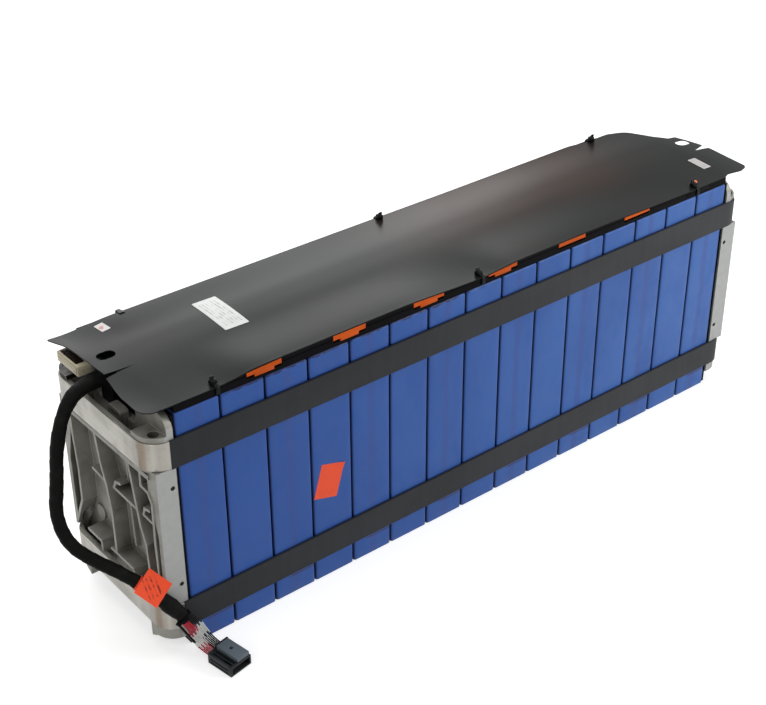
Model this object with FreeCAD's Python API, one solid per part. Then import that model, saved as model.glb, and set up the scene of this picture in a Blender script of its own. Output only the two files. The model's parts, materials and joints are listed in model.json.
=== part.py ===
"""Battery module of fifteen film-wrapped prismatic cells held between two die-cast end plates.

Units are millimetres and +Z is up. The origin is the middle of the cell stack at the level of the
cell bottoms, +X runs along the stack to its far end and -Y is the front long side. Two steel straps
run round the stack and both castings, a moulded tray on top carries the bus bars, and a thin sheet
covers the tray. The signal loom leaves from under the sheet at the near end.
"""
import FreeCAD, Part
import math
import os

from FreeCAD import Vector

os.makedirs("parts", exist_ok=True)

# Cell stack
CELL_COUNT = 15
CELL_THICK = 36.7
CELL_DEPTH = 130.4
CELL_HEIGHT = 201.0
CELL_CORNER_R = 3.0
SPACER_THICK = 0.3
SPACER_INSET = 4.0
INSULATOR_THICK = 2.0
INSULATOR_INSET = 1.0

# Cell terminals and pressure vents
TERMINAL_LENGTH = 22.0
TERMINAL_WIDTH = 18.0
TERMINAL_HEIGHT = 1.6
TERMINAL_CORNER_R = 2.0
TERMINAL_FROM_SIDE = 21.2
VENT_LENGTH = 24.0
VENT_WIDTH = 14.0
VENT_END_COVER = 4.0

# Steel straps and their film sleeves
STRAP_THICK = 1.0
STRAP_WIDTH = 22.0
STRAP_CORNER_R = 16.0
UPPER_STRAP_DROP = 19.0
LOWER_STRAP_RISE = 20.5
STRAP_SIDE_GAP = 0.6
LAP_LENGTH = 34.0
SLEEVE_THICK = 0.4
SLEEVE_FIT = 0.1
SLEEVE_NEAR_SETBACK = 17.0
SLEEVE_FAR_SETBACK = 9.0

# End plate casting
PLATE_DEPTH = 19.6
WEB_THICK = 5.0
FLANGE_THICK = 4.2
FLANGE_DEPTH = 16.2
SEAT_WALL = 3.0
PLATE_FOOT_GAP = 6.0
TOWER_DROP = 1.0
TOWER_CORNER_R = 11.0
TOWER_SLANT = 3.0
WEB_CORNER_R = 4.0
TOWER_LENGTH = 38.0
WEB_MIDDLE_DROP = 26.0
BOSS_LENGTH = 22.0
BOSS_RISE = 4.0
BOSS_DROP = 2.0
FOOT_HEIGHT = 20.0
CHEEK_LENGTH = 34.0
CHEEK_DEPTH = 12.0
CHEEK_DROP = 5.0
RAIL_HEIGHT = 3.6
RAIL_DEPTH = 17.6
RAIL_GAP = 5.0
LEDGE_GAP = 8.0
LEDGE_HEIGHT = 2.2
RIB_ROOT = 4.2
RIB_TIP = 2.4
RIB_DEPTH = 17.0
FINE_RIB_ROOT = 2.8
FINE_RIB_TIP = 1.6
FINE_RIB_DEPTH = 9.0
SHELF_ROOT = 3.4
SHELF_TIP = 2.2
SHELF_DEPTH = 15.5
PAD_R = 6.0
PAD_DEPTH = 6.5
PAD_FROM_SIDE = 23.8
PAD_RISE = 18.5
PAD_SINK = 1.0
STRAP_ROOM = 0.7
MOUNT_HOLE_R = 4.2
MOUNT_HOLE_FROM_SIDE = 8.2
MOUNT_HOLE_FROM_BACK = 10.3

# Ribbed field of the near casting. Each line runs through (y, rise) points, with the rise measured
# from the lower strap, laid out on a field of this half width and height that they stretch with
FIELD_HALF_WIDTH = 65.8
FIELD_HEIGHT = 112.5
MAIN_RIBS = (
    ((51.5, 109.5), (51.4, 89.5), (48.8, 57.5), (49.7, 29.5), (56.0, 16.5), (63.0, 1.5)),
    ((16.5, 109.5), (12.2, 84.5), (7.0, 68.0), (3.2, 47.5), (3.0, 9.0)),
    ((-29.0, 109.5), (-32.0, 92.5), (-38.0, 59.0), (-43.6, 44.5), (-46.0, 1.5)),
    ((-45.0, 109.5), (-44.5, 97.0), (-53.5, 96.0), (-57.8, 88.5), (-57.0, 52.5), (-59.0, 1.5)),
)
FINE_RIBS = (
    ((20.0, 107.5), (18.0, 82.5)),
    ((20.0, 64.5), (18.5, 33.5)),
    ((-11.0, 107.5), (-12.0, 79.5)),
    ((-11.0, 67.5), (-13.0, 21.5)),
    ((-51.5, 93.5), (-52.5, 69.5)),
)
SHELVES = (
    ((28.0, 70.5), (8.0, 68.5)),
    ((-11.0, 78.5), (-5.0, 76.5), (-1.5, 70.0), (-35.5, 69.0)),
    ((-50.0, 77.5), (-44.0, 76.0), (-41.5, 69.5), (-57.5, 68.5)),
)
LEDGE_BACK_SPAN = (21.0, 41.3)
LEDGE_BACK_DEPTH = 19.0
LEDGE_FRONT_SPAN = (-22.0, 10.0)
LEDGE_FRONT_DEPTH = 17.6
LEDGE_FOOT_SETBACK = 0.4
PIN_HOLE_R = 1.8
PIN_HOLE_DEPTH = 3.0
PIN_HOLE_FROM_BACK = 3.9
PIN_HOLE_SETBACK = 17.0
FLANGE_FOOT = 8.0
FLANGE_FOOT_HEIGHT = 22.0
FLANGE_FOOT_R = 6.0
FLANGE_TAPER_HEIGHT = 56.0
FLANGE_TAPER_R = 20.0
LUG_FRONT_Y = -15.0
LUG_WIDTH = 17.0
LUG_DEPTH = 6.0
LUG_SLOT_MARGIN = 3.0
LUG_SLOT_HEIGHT = 3.0
LUG_SLOT_DROP = 3.5
LUG_CORNER_R = 3.0
LUG_SLOT_R = 1.2

# How far a feature runs into the one that carries it, and a cutter past the face it opens
JOIN = 1.0

# Tray, bus bars and their caps
TRAY_BASE = 1.2
TRAY_WALL = 1.3
TRAY_HEIGHT = 6.0
TRAY_SIDE_INSET = 0.4
TRAY_END_INSET = 1.0
TRAY_RIB_GAP = 7.6
TRAY_RIB_NEAR_SETBACK = 30.0
WINDOW_MARGIN = 1.2
BAR_WIDTH = 24.0
BAR_THICK = 2.0
BAR_OVERLAP = 11.0
BAR_ARCH = 1.0
BAR_ARCH_HALF = 6.0
BAR_BEND_R = 3.0
OUTPUT_MARGIN = 2.0
OUTPUT_CORNER_R = 2.0
OUTPUT_HOLE_R = 3.3
CAP_WALL = 0.8
CAP_MARGIN = 2.4
CAP_TOP_GAP = 0.1
CAP_TAB_WIDTH = 29.0
CAP_TAB_HEIGHT = 2.9
CAP_TAB_PROUD = 0.3

# Voltage sensing
FLEX_THICK = 0.3
FLEX_WIDTH = 18.0
FLEX_FINGER = 4.0
FLEX_OVERLAP = 3.0
BOARD_THICK = 1.6
BOARD_REACH = 12.0
HEADER_REACH = 21.5
HEADER_LENGTH = 29.0
HEADER_DEPTH = 12.5
HEADER_HEIGHT = 8.0
HEADER_WALL = 1.2
HEADER_FIT = 0.2
HEADER_FROM_SIDE = 26.7
HEADER_FLOOR = 4.0
HEADER_PLUG_STANDOUT = 0.8
BOARD_CORNER_R = 1.5
BOARD_NECK = 4.0
BOARD_OVERHANG = 2.0
BOARD_ARM_FRONT_Y = -8.0
BOARD_ARM_REACH = 8.0

# Opening of the near rim that the board and the loom pass through
RIM_GAP_FRONT_Y = -10.0
RIM_GAP_FROM_SIDE = 7.2

# Cover sheet
COVER_THICK = 0.8
COVER_SIDE_INSET = 0.2
COVER_NEAR_REACH = 16.5
COVER_FAR_REACH = 35.5
COVER_HOLE_LENGTH = 14.0
COVER_HOLE_WIDTH = 10.0
COVER_CURL_FROM_STACK = 0.65
COVER_CURL_R = 300.0
COVER_CURL_SPARE = 20.0
COVER_CURL_ROOM = 40.0
COVER_HOLE_EDGE = 0.2
COVER_NEAR_HOLE_SETBACK = 13.5
COVER_NEAR_HOLE_Y = 15.7
COVER_FAR_HOLE_SETBACK = 13.0
COVER_FAR_HOLE_Y = 5.7
COVER_NEAR_SLIT = 23.0
COVER_NEAR_SLIT_Y = -7.0
COVER_FAR_SLIT = 18.0
COVER_FAR_SLIT_Y = -10.5
COVER_FAR_SLIT_SLANT = 2.0
COVER_NEAR_SLIT_MOUTH = 3.0
COVER_FAR_SLIT_MOUTH = 8.0
COVER_FAR_TAB_BACK_Y = 18.6

# Ties that hold the cover to the tray
TIE_WIDTH = 3.6
TIE_THICK = 1.2
TIE_FIT = 0.2
TIE_HEAD = 5.4
TIE_HEAD_HEIGHT = 3.4
TIE_TAIL = 4.0
TIE_FROM_EDGE = 5.0
TIE_POST_WALL = 1.0
TIE_NEAR_SETBACK = 35.35
TIE_FAR_SETBACK = 37.35
TIE_MIDDLE_X = -2.0
TIE_TAIL_TILT = 14.0

# Labels
LABEL_THICK = 0.2
LABEL_CORNER_R = 0.6
LONG_LABEL_SIZE = (20.0, 46.5)
LONG_LABEL_SETBACK = 108.85
LONG_LABEL_Y = 16.8
LONG_LABEL_TURN = -2.0
NEAR_LABEL_SIZE = (10.0, 10.0)
NEAR_LABEL_SETBACK = 31.85
NEAR_LABEL_FROM_SIDE = 13.2
NEAR_LABEL_TURN = -12.0
FAR_LABEL_SIZE = (11.0, 20.0)
FAR_LABEL_SETBACK = 35.25
FAR_LABEL_FROM_SIDE = 31.6
FAR_LABEL_TURN = -4.0
CELL_LABEL_WIDTH = 21.6
CELL_LABEL_HEIGHT = 29.2
CELL_LABEL_TURN = -16.0
CELL_LABEL_SHIFT = -3.2
CELL_LABEL_RISE = 87.8
CELL_LABEL_INDEX_COUNT = 3

# Signal loom, its leads and its plug. The route's points are offsets from the clip's face
LOOM_R = 5.0
LOOM_EXIT_Y = 10.5
LOOM_ROUTE = (
    (0.0, 0.0, 0.0),
    (-18.0, 0.0, 0.0),
    (-36.5, -7.0, -6.0),
    (-50.0, -16.0, -26.0),
    (-56.5, -21.5, -51.5),
    (-62.5, -25.0, -76.5),
    (-60.5, -33.5, -96.0),
    (-50.0, -45.0, -108.5),
    (-35.5, -59.5, -118.5),
    (-20.5, -76.5, -134.0),
    (-3.5, -87.5, -159.0),
)
CLIP_WIDTH = 16.0
CLIP_DEPTH = 5.65
CLIP_HEIGHT = 27.0
CLIP_CORNER_R = 6.0
LEAD_R = 2.5
LEAD_GAP = 0.1
LEAD_SPREAD = 4.0
LEAD_FIRST_RUN = 6.5
LEAD_LAST_RUN = 11.5
LEAD_HEIGHT = 4.6
LEAD_MIDDLE_SHARE = 0.47
LEAD_MIDDLE_BULGE = 2.2
PLUG_LENGTH = 24.0
PLUG_WIDTH = 20.0
PLUG_HEIGHT = 8.5
PLUG_CORNER_R = 1.0
PLUG_TURN = 10.0
PLUG_RIDGE_WIDTH = 11.5
PLUG_RIDGE_HEIGHT = 3.5
PLUG_RIDGE_MARGIN = 1.0
PLUG_WALL = 1.4
PLUG_CAVITY_DEPTH = 13.0
PLUG_GROOVE_WIDTH = 1.2
PLUG_GROOVE_DEPTH = 0.6
PLUG_GROOVE_PITCH = 2.6
PLUG_GROOVE_COUNT = 2
PLUG_FROM_LOOM = (17.5, -10.0)
MARKER_LENGTH = 8.0
MARKER_WALL = 0.5
MARKER_FIT = 0.1
MARKER_SETBACK = 1.0
MARKER_STAGGER = 1.5
RUNS_BEFORE_TAG_COUNT = 8
TAG_SIZE = 20.0
TAG_THICK = 0.4
TAG_FIT = 0.15
TAG_SHARE = 0.83
TAG_UP = (0.83, 0.31, 0.46)
TAG_BELOW = 8.6
LOOM_TIE_SHARE = 0.9
LOOM_TIE_WIDTH = 3.5
LOOM_TIE_THICK = 1.3
LOOM_TIE_FIT = 0.1
LOOM_TIE_HEAD = 4.8
LOOM_TIE_HEAD_HEIGHT = 3.4
LOOM_TIE_TAIL = 13.0

# Places that follow from the sizes above
PITCH = CELL_THICK + SPACER_THICK
STACK_HALF = (CELL_COUNT * CELL_THICK + (CELL_COUNT - 1) * SPACER_THICK) / 2
SIDE = CELL_DEPTH / 2
PLATE_INNER = STACK_HALF + INSULATOR_THICK
SEAT_X = PLATE_INNER + PLATE_DEPTH
SEAT_Y = SIDE + STRAP_SIDE_GAP
UPPER_TOP = CELL_HEIGHT - UPPER_STRAP_DROP
UPPER_BOTTOM = UPPER_TOP - STRAP_WIDTH
LOWER_BOTTOM = LOWER_STRAP_RISE
LOWER_TOP = LOWER_BOTTOM + STRAP_WIDTH
RAIL_TOP = UPPER_BOTTOM - RAIL_GAP
TRAY_FLOOR = CELL_HEIGHT + TRAY_BASE
TRAY_TOP = CELL_HEIGHT + TRAY_HEIGHT
TRAY_Y = SIDE - TRAY_SIDE_INSET
TRAY_X = STACK_HALF - TRAY_END_INSET
TERMINAL_Y = SIDE - TERMINAL_FROM_SIDE
CAP_INNER_Y = TERMINAL_Y - BAR_WIDTH / 2 - CAP_MARGIN
TRAY_RIB_Y = CAP_INNER_Y - TRAY_RIB_GAP
HEADER_MIDDLE_Y = SIDE - HEADER_FROM_SIDE
BAR_BOTTOM = CELL_HEIGHT + TERMINAL_HEIGHT
BAR_TOP = BAR_BOTTOM + BAR_THICK
COVER_TOP = TRAY_TOP + COVER_THICK
COVER_HALF = SIDE - COVER_SIDE_INSET
COVER_NEAR_X = -STACK_HALF - COVER_NEAR_REACH
COVER_FAR_X = STACK_HALF + COVER_FAR_REACH
COVER_FLAT_HALF = STACK_HALF + COVER_CURL_FROM_STACK
TIE_X = (TIE_NEAR_SETBACK - STACK_HALF, TIE_MIDDLE_X, STACK_HALF - TIE_FAR_SETBACK)
LUG_BACK_Y = LUG_FRONT_Y + LUG_WIDTH
MOUNT_X = PLATE_INNER + MOUNT_HOLE_FROM_BACK
MOUNT_Y = SEAT_Y - MOUNT_HOLE_FROM_SIDE
CLIP_SEAT = CELL_HEIGHT - WEB_MIDDLE_DROP
LOOM_EXIT = Vector(-PLATE_INNER - CLIP_DEPTH, LOOM_EXIT_Y, CLIP_SEAT + CLIP_HEIGHT - LOOM_R)
LOOM_POINTS = [tuple(LOOM_EXIT + Vector(*offset)) for offset in LOOM_ROUTE]
LOOM_END = Vector(*LOOM_POINTS[-1])
LOOM_END_ALONG = (LOOM_END - Vector(*LOOM_POINTS[-2])).normalize()
PLUG_REAR = Vector(LOOM_END.x + PLUG_FROM_LOOM[0], LOOM_END.y + PLUG_FROM_LOOM[1], 0)


def block(x0, x1, y0, y1, z0, z1):
    """Rectangular solid between two corners."""
    return Part.makeBox(x1 - x0, y1 - y0, z1 - z0, Vector(x0, y0, z0))


def rounded_wire(corners, place):
    """Closed outline of straight sides and tangent arcs.

    corners are (a, b, radius) in the plane of the outline and place turns (a, b) into a 3-D point.
    """
    ends = []
    for i, (a, b, radius) in enumerate(corners):
        here = Vector(a, b, 0)
        before = Vector(*corners[i - 1][:2], 0)
        after = Vector(*corners[(i + 1) % len(corners)][:2], 0)
        if radius <= 0:
            ends.append((here, None, here))
            continue
        back = (before - here).normalize()
        on = (after - here).normalize()
        half = back.getAngle(on) / 2
        reach = radius / math.tan(half)
        centre = here + (back + on).normalize() * (radius / math.sin(half))
        middle = centre + (here - centre).normalize() * radius
        ends.append((here + back * reach, middle, here + on * reach))
    edges = []
    for i, (start, middle, finish) in enumerate(ends):
        if middle is not None:
            arc = Part.Arc(place(start.x, start.y), place(middle.x, middle.y), place(finish.x, finish.y))
            edges.append(arc.toShape())
        following = ends[(i + 1) % len(ends)][0]
        if (following - finish).Length > 1e-6:
            line = Part.LineSegment(place(finish.x, finish.y), place(following.x, following.y))
            edges.append(line.toShape())
    return Part.Wire(edges)


def plan_prism(corners, z0, z1):
    """Solid of an outline drawn in plan, between two heights."""
    wire = rounded_wire(corners, lambda a, b: Vector(a, b, z0))
    return Part.Face(wire).extrude(Vector(0, 0, z1 - z0))


def rounded_block(half_x, half_y, radius, z0, z1, middle=(0.0, 0.0)):
    """Upright block with four rounded vertical edges."""
    mx, my = middle
    corners = [
        (mx - half_x, my - half_y, radius),
        (mx + half_x, my - half_y, radius),
        (mx + half_x, my + half_y, radius),
        (mx - half_x, my + half_y, radius),
    ]
    return plan_prism(corners, z0, z1)


def fuse(shapes):
    """One solid of several that overlap or share faces."""
    return shapes[0].multiFuse(shapes[1:]).removeSplitter()


def cell_x(index):
    """Middle of a cell along the stack, counted from 0 at the near end."""
    return (index - (CELL_COUNT - 1) / 2) * PITCH


def seam_x(index):
    """Middle of the seam between cell index and the next one."""
    return cell_x(index) + PITCH / 2


def cell(index):
    """Wrapped can with rounded upright edges."""
    return rounded_block(
        CELL_THICK / 2, SIDE, CELL_CORNER_R, 0, CELL_HEIGHT, (cell_x(index), 0)
    )


def cell_spacers():
    """Thin pads between neighbouring cans, set back from their edges."""
    sheets = []
    for index in range(CELL_COUNT - 1):
        middle = seam_x(index)
        sheets.append(
            block(
                middle - SPACER_THICK / 2,
                middle + SPACER_THICK / 2,
                -SIDE + SPACER_INSET,
                SIDE - SPACER_INSET,
                SPACER_INSET,
                CELL_HEIGHT - SPACER_INSET,
            )
        )
    return Part.makeCompound(sheets)


def cell_terminals():
    """Two low terminal posts on the lid of every cell."""
    posts = []
    for index in range(CELL_COUNT):
        for side in (-1, 1):
            posts.append(
                rounded_block(
                    TERMINAL_LENGTH / 2,
                    TERMINAL_WIDTH / 2,
                    TERMINAL_CORNER_R,
                    CELL_HEIGHT,
                    BAR_BOTTOM,
                    (cell_x(index), side * TERMINAL_Y),
                )
            )
    return Part.makeCompound(posts)


def end_insulator(end):
    """Sheet between the stack and a casting; end is -1 near and 1 far."""
    x0, x1 = sorted((end * STACK_HALF, end * (STACK_HALF + INSULATOR_THICK)))
    reach = SIDE - INSULATOR_INSET
    return block(x0, x1, -reach, reach, INSULATOR_INSET, CELL_HEIGHT - INSULATOR_INSET)


def plate_x(depth):
    """Place along X of a depth measured outwards from the inner face of the near casting."""
    return -(PLATE_INNER + depth)


def end_slab(corners, depth0, depth1):
    """Solid of an outline in the plane of the near casting, corners as (y, z, radius)."""
    wire = rounded_wire(corners, lambda y, z: Vector(plate_x(depth0), y, z))
    return Part.Face(wire).extrude(Vector(depth0 - depth1, 0, 0))


def plate_rib(points, depth, root, tip):
    """Tapered rib of the near casting along a line of (y, z) points, thicker at the web."""
    pieces = []
    for start, finish in zip(points, points[1:]):
        run = Vector(finish[0] - start[0], finish[1] - start[1], 0)
        over = run.normalize() * (tip / 2)
        across = Vector(-run.y, run.x, 0)
        wires = []
        for level, width in ((WEB_THICK - JOIN, root), (depth, tip)):
            side = across * (width / 2)
            a = Vector(*start, 0) - over
            b = Vector(*finish, 0) + over
            flat = (a - side, b - side, b + side, a + side)
            corners = [Vector(plate_x(level), point.x, point.y) for point in flat]
            wires.append(Part.makePolygon(corners + corners[:1]))
        pieces.append(Part.makeLoft(wires, True, True))
    return pieces


def plate_web():
    """Flat back wall with two tall corner towers and a lower middle."""
    foot = PLATE_FOOT_GAP
    top = CELL_HEIGHT - TOWER_DROP
    middle = CELL_HEIGHT - WEB_MIDDLE_DROP
    side = SEAT_Y
    inner = side - TOWER_LENGTH
    outline = [
        (-side, foot, WEB_CORNER_R),
        (side, foot, WEB_CORNER_R),
        (side, top, TOWER_CORNER_R),
        (inner, top, WEB_CORNER_R),
        (inner - TOWER_SLANT, middle, WEB_CORNER_R),
        (TOWER_SLANT - inner, middle, WEB_CORNER_R),
        (-inner, top, WEB_CORNER_R),
        (-side, top, TOWER_CORNER_R),
    ]
    return end_slab(outline, 0, WEB_THICK)


def strap_ring(half_x, half_y, radius, wall, z0, z1):
    """Closed band with rounded corners; half sizes and radius are its inner ones."""
    outer = rounded_block(half_x + wall, half_y + wall, radius + wall, z0, z1)
    return outer.cut(rounded_block(half_x, half_y, radius, z0 - 1.0, z1 + 1.0))


def near_half(z0, z1):
    """Room of the near casting between two heights."""
    return block(-SEAT_X - JOIN, plate_x(0), -SEAT_Y - JOIN, SEAT_Y + JOIN, z0, z1)


def strap_seat(z0, z1, boss_z0, boss_z1):
    """Curved wall that a strap bears on, with a solid boss and a cheek at each corner."""
    full = rounded_block(SEAT_X, SEAT_Y, STRAP_CORNER_R, boss_z0, boss_z1)
    wall = strap_ring(
        SEAT_X - SEAT_WALL, SEAT_Y - SEAT_WALL, STRAP_CORNER_R - SEAT_WALL, SEAT_WALL, z0, z1
    )
    pieces = [wall.common(near_half(z0, z1))]
    for side in (-1, 1):
        inner = SEAT_Y - BOSS_LENGTH
        y0, y1 = sorted((side * inner, side * (SEAT_Y + JOIN)))
        corner = block(-SEAT_X - JOIN, plate_x(0), y0, y1, boss_z0, boss_z1)
        pieces.append(full.common(corner))
        y0, y1 = sorted((side * (SEAT_Y - CHEEK_LENGTH), side * inner))
        pieces.append(block(plate_x(CHEEK_DEPTH), plate_x(0), y0, y1, z0, z1 - CHEEK_DROP))
    return pieces


def plate_flanges():
    """Side walls between the straps, thicker towards the upper strap."""
    flanges = []
    z0 = LOWER_TOP - JOIN
    z1 = UPPER_BOTTOM + JOIN
    inner = SEAT_Y - FLANGE_THICK
    for side in (-1, 1):
        outline = [
            (side * SEAT_Y, z0, 0),
            (side * SEAT_Y, z1, 0),
            (side * (inner - FLANGE_FOOT), z1, 0),
            (side * (inner - FLANGE_FOOT), z1 - FLANGE_FOOT_HEIGHT, FLANGE_FOOT_R),
            (side * inner, z1 - FLANGE_TAPER_HEIGHT, FLANGE_TAPER_R),
            (side * inner, z0, 0),
        ]
        flanges.append(end_slab(outline, 0, FLANGE_DEPTH))
    return flanges


def field_point(y, rise):
    """Place (y, z) on the casting of a point of the ribbed field's layout."""
    height = (RAIL_TOP - LOWER_TOP) / FIELD_HEIGHT
    return y * SEAT_Y / FIELD_HALF_WIDTH, LOWER_TOP + rise * height


def plate_ribs():
    """Main ribs from rail to seat, finer ones between them, cross shelves and a round pad."""
    kinds = (
        (MAIN_RIBS, RIB_DEPTH, RIB_ROOT, RIB_TIP),
        (FINE_RIBS, FINE_RIB_DEPTH, FINE_RIB_ROOT, FINE_RIB_TIP),
        (SHELVES, SHELF_DEPTH, SHELF_ROOT, SHELF_TIP),
    )
    pieces = []
    for lines, depth, root, tip in kinds:
        for line in lines:
            pieces += plate_rib([field_point(*point) for point in line], depth, root, tip)
    start = Vector(plate_x(WEB_THICK - PAD_SINK), SEAT_Y - PAD_FROM_SIDE, LOWER_TOP + PAD_RISE)
    pieces.append(Part.makeCylinder(PAD_R, PAD_DEPTH - WEB_THICK + PAD_SINK, start, Vector(-1, 0, 0)))
    return pieces


def plate_rails():
    """Full ledge under the upper strap's air gap and two short ones above the lower strap."""
    edge = SEAT_Y - 2 * FLANGE_THICK
    low = RAIL_TOP - RAIL_HEIGHT
    root = WEB_THICK - JOIN
    outline = [(-edge, low, 0), (edge, low, 0), (edge, RAIL_TOP, 0), (-edge, RAIL_TOP, 0)]
    pieces = [end_slab(outline, root, RAIL_DEPTH)]
    low = LOWER_TOP + LEDGE_GAP
    high = low + LEDGE_HEIGHT
    spans = ((LEDGE_BACK_SPAN, LEDGE_BACK_DEPTH), (LEDGE_FRONT_SPAN, LEDGE_FRONT_DEPTH))
    for (y0, y1), depth in spans:
        outline = [(y0, low, 0), (y1, low, 0), (y1, high, 0), (y0, high, 0)]
        pieces.append(end_slab(outline, root, depth))
        foot_y = y0 + RIB_TIP / 2
        foot = ((foot_y, low), (foot_y, LOWER_TOP))
        pieces += plate_rib(foot, depth - LEDGE_FOOT_SETBACK, RIB_ROOT, RIB_TIP)
    return pieces


def plate_lug():
    """Slotted lug that stands in the upper pocket behind the strap."""
    outline = [
        (LUG_FRONT_Y, UPPER_BOTTOM, 0),
        (LUG_BACK_Y, UPPER_BOTTOM, 0),
        (LUG_BACK_Y, UPPER_TOP, LUG_CORNER_R),
        (LUG_FRONT_Y, UPPER_TOP, LUG_CORNER_R),
    ]
    lug = end_slab(outline, WEB_THICK - JOIN, WEB_THICK + LUG_DEPTH)
    high = UPPER_TOP - LUG_SLOT_DROP
    low = high - LUG_SLOT_HEIGHT
    y0 = LUG_FRONT_Y + LUG_SLOT_MARGIN
    y1 = LUG_BACK_Y - LUG_SLOT_MARGIN
    slot = [(y, z, LUG_SLOT_R) for y, z in ((y0, low), (y1, low), (y1, high), (y0, high))]
    return lug.cut(end_slab(slot, WEB_THICK, WEB_THICK + LUG_DEPTH + JOIN))


def plate_cuts():
    """Upright bolt holes through the corner bosses and pin holes in the side faces."""
    cuts = []
    for side in (-1, 1):
        foot = Vector(-MOUNT_X, side * MOUNT_Y, -JOIN)
        cuts.append(Part.makeCylinder(MOUNT_HOLE_R, CELL_HEIGHT + 2 * JOIN, foot))
        for level in (UPPER_BOTTOM - PIN_HOLE_SETBACK, LOWER_TOP + PIN_HOLE_SETBACK):
            mouth = Vector(plate_x(PIN_HOLE_FROM_BACK), side * (SEAT_Y + JOIN), level)
            inwards = Vector(0, -side, 0)
            cuts.append(Part.makeCylinder(PIN_HOLE_R, PIN_HOLE_DEPTH + JOIN, mouth, inwards))
    for z0 in (UPPER_BOTTOM, LOWER_BOTTOM):
        low = z0 - STRAP_ROOM
        high = z0 + STRAP_WIDTH + STRAP_ROOM
        cuts.append(strap_ring(SEAT_X, SEAT_Y, STRAP_CORNER_R, STRAP_CORNER_R, low, high))
    return cuts


def end_plate(end):
    """Die-cast end plate; the far one is the same casting turned half a turn."""
    pieces = [plate_web(), plate_lug()]
    upper_boss = (UPPER_BOTTOM - BOSS_DROP, UPPER_TOP + BOSS_RISE)
    lower_boss = (PLATE_FOOT_GAP, PLATE_FOOT_GAP + FOOT_HEIGHT)
    pieces += strap_seat(UPPER_BOTTOM, UPPER_TOP, *upper_boss)
    pieces += strap_seat(LOWER_BOTTOM, LOWER_TOP, *lower_boss)
    pieces += plate_flanges()
    pieces += plate_rails()
    pieces += plate_ribs()
    body = fuse(pieces)
    for cutter in plate_cuts():
        body = body.cut(cutter)
    if end > 0:
        body.rotate(Vector(0, 0, 0), Vector(0, 0, 1), 180)
    return body


def strap(z0):
    """Steel band round the stack, closed by a lap on the face of the far casting."""
    ring = strap_ring(SEAT_X, SEAT_Y, STRAP_CORNER_R, STRAP_THICK, z0, z0 + STRAP_WIDTH)
    lap = block(
        SEAT_X + STRAP_THICK,
        SEAT_X + 2 * STRAP_THICK,
        -LAP_LENGTH / 2,
        LAP_LENGTH / 2,
        z0,
        z0 + STRAP_WIDTH,
    )
    return ring.fuse(lap).removeSplitter()


def strap_sleeve(z0, side):
    """Film over one long run of a strap: a flat tube along the cells, an outer leaf over the castings."""
    room = SLEEVE_FIT
    skin = SLEEVE_FIT + SLEEVE_THICK
    z1 = z0 + STRAP_WIDTH
    outer = strap_ring(
        SEAT_X + room, SEAT_Y + room, STRAP_CORNER_R + room, STRAP_THICK + SLEEVE_THICK, z0 - skin, z1 + skin
    )
    band = strap_ring(SEAT_X, SEAT_Y, STRAP_CORNER_R, STRAP_THICK + room, z0 - room, z1 + room)
    near_end = SLEEVE_NEAR_SETBACK - SEAT_X - STRAP_THICK
    far_end = SEAT_X + STRAP_THICK - SLEEVE_FAR_SETBACK
    outer_y = SEAT_Y + STRAP_THICK + skin
    y0, y1 = sorted((side * SIDE / 2, side * outer_y))
    leaf = outer.cut(band).common(block(near_end, far_end, y0, y1, 0, CELL_HEIGHT))
    y0, y1 = sorted((side * (SEAT_Y - skin), side * outer_y))
    sleeve = block(-STACK_HALF, STACK_HALF, y0, y1, z0 - skin, z1 + skin)
    y0, y1 = sorted((side * (SEAT_Y - room), side * (outer_y - SLEEVE_THICK)))
    hollow = block(-STACK_HALF - JOIN, STACK_HALF + JOIN, y0, y1, z0 - room, z1 + room)
    return fuse([sleeve.cut(hollow), leaf])


def front_seams():
    """Seams that a bus bar bridges on the front row."""
    return range(1, CELL_COUNT - 1, 2)


def back_seams():
    """Seams that a bus bar bridges on the back row."""
    return range(0, CELL_COUNT - 1, 2)


def seams_of(side):
    """Bridged seams of one row; side is -1 in front and 1 at the back."""
    return front_seams() if side < 0 else back_seams()


def cap_half():
    """Half length of the cap over one bus bar."""
    return PITCH / 2 + BAR_OVERLAP + CAP_MARGIN


def tie_post_room(x, side, grow):
    """Stretch of the rim kept at full height where a tie passes through it."""
    half = TIE_WIDTH / 2 + TIE_FIT + TIE_POST_WALL + grow
    y0, y1 = sorted((side * (TRAY_Y - TIE_FROM_EDGE - TIE_THICK), side * (TRAY_Y + JOIN)))
    return block(x - half, x + half, y0, y1, CELL_HEIGHT, TRAY_TOP + JOIN)


def tray_windows():
    """Openings of the tray's floor over the terminals and the vents."""
    windows = []
    half_x = TERMINAL_LENGTH / 2 + WINDOW_MARGIN
    half_y = TERMINAL_WIDTH / 2 + WINDOW_MARGIN
    vent_x = VENT_LENGTH / 2 - VENT_END_COVER
    vent_y = VENT_WIDTH / 2 + WINDOW_MARGIN
    low = CELL_HEIGHT - JOIN
    high = TRAY_FLOOR + JOIN
    for index in range(CELL_COUNT):
        x = cell_x(index)
        for side in (-1, 1):
            y = side * TERMINAL_Y
            windows.append(block(x - half_x, x + half_x, y - half_y, y + half_y, low, high))
        windows.append(block(x - vent_x, x + vent_x, -vent_y, vent_y, low, high))
    return windows


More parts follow.
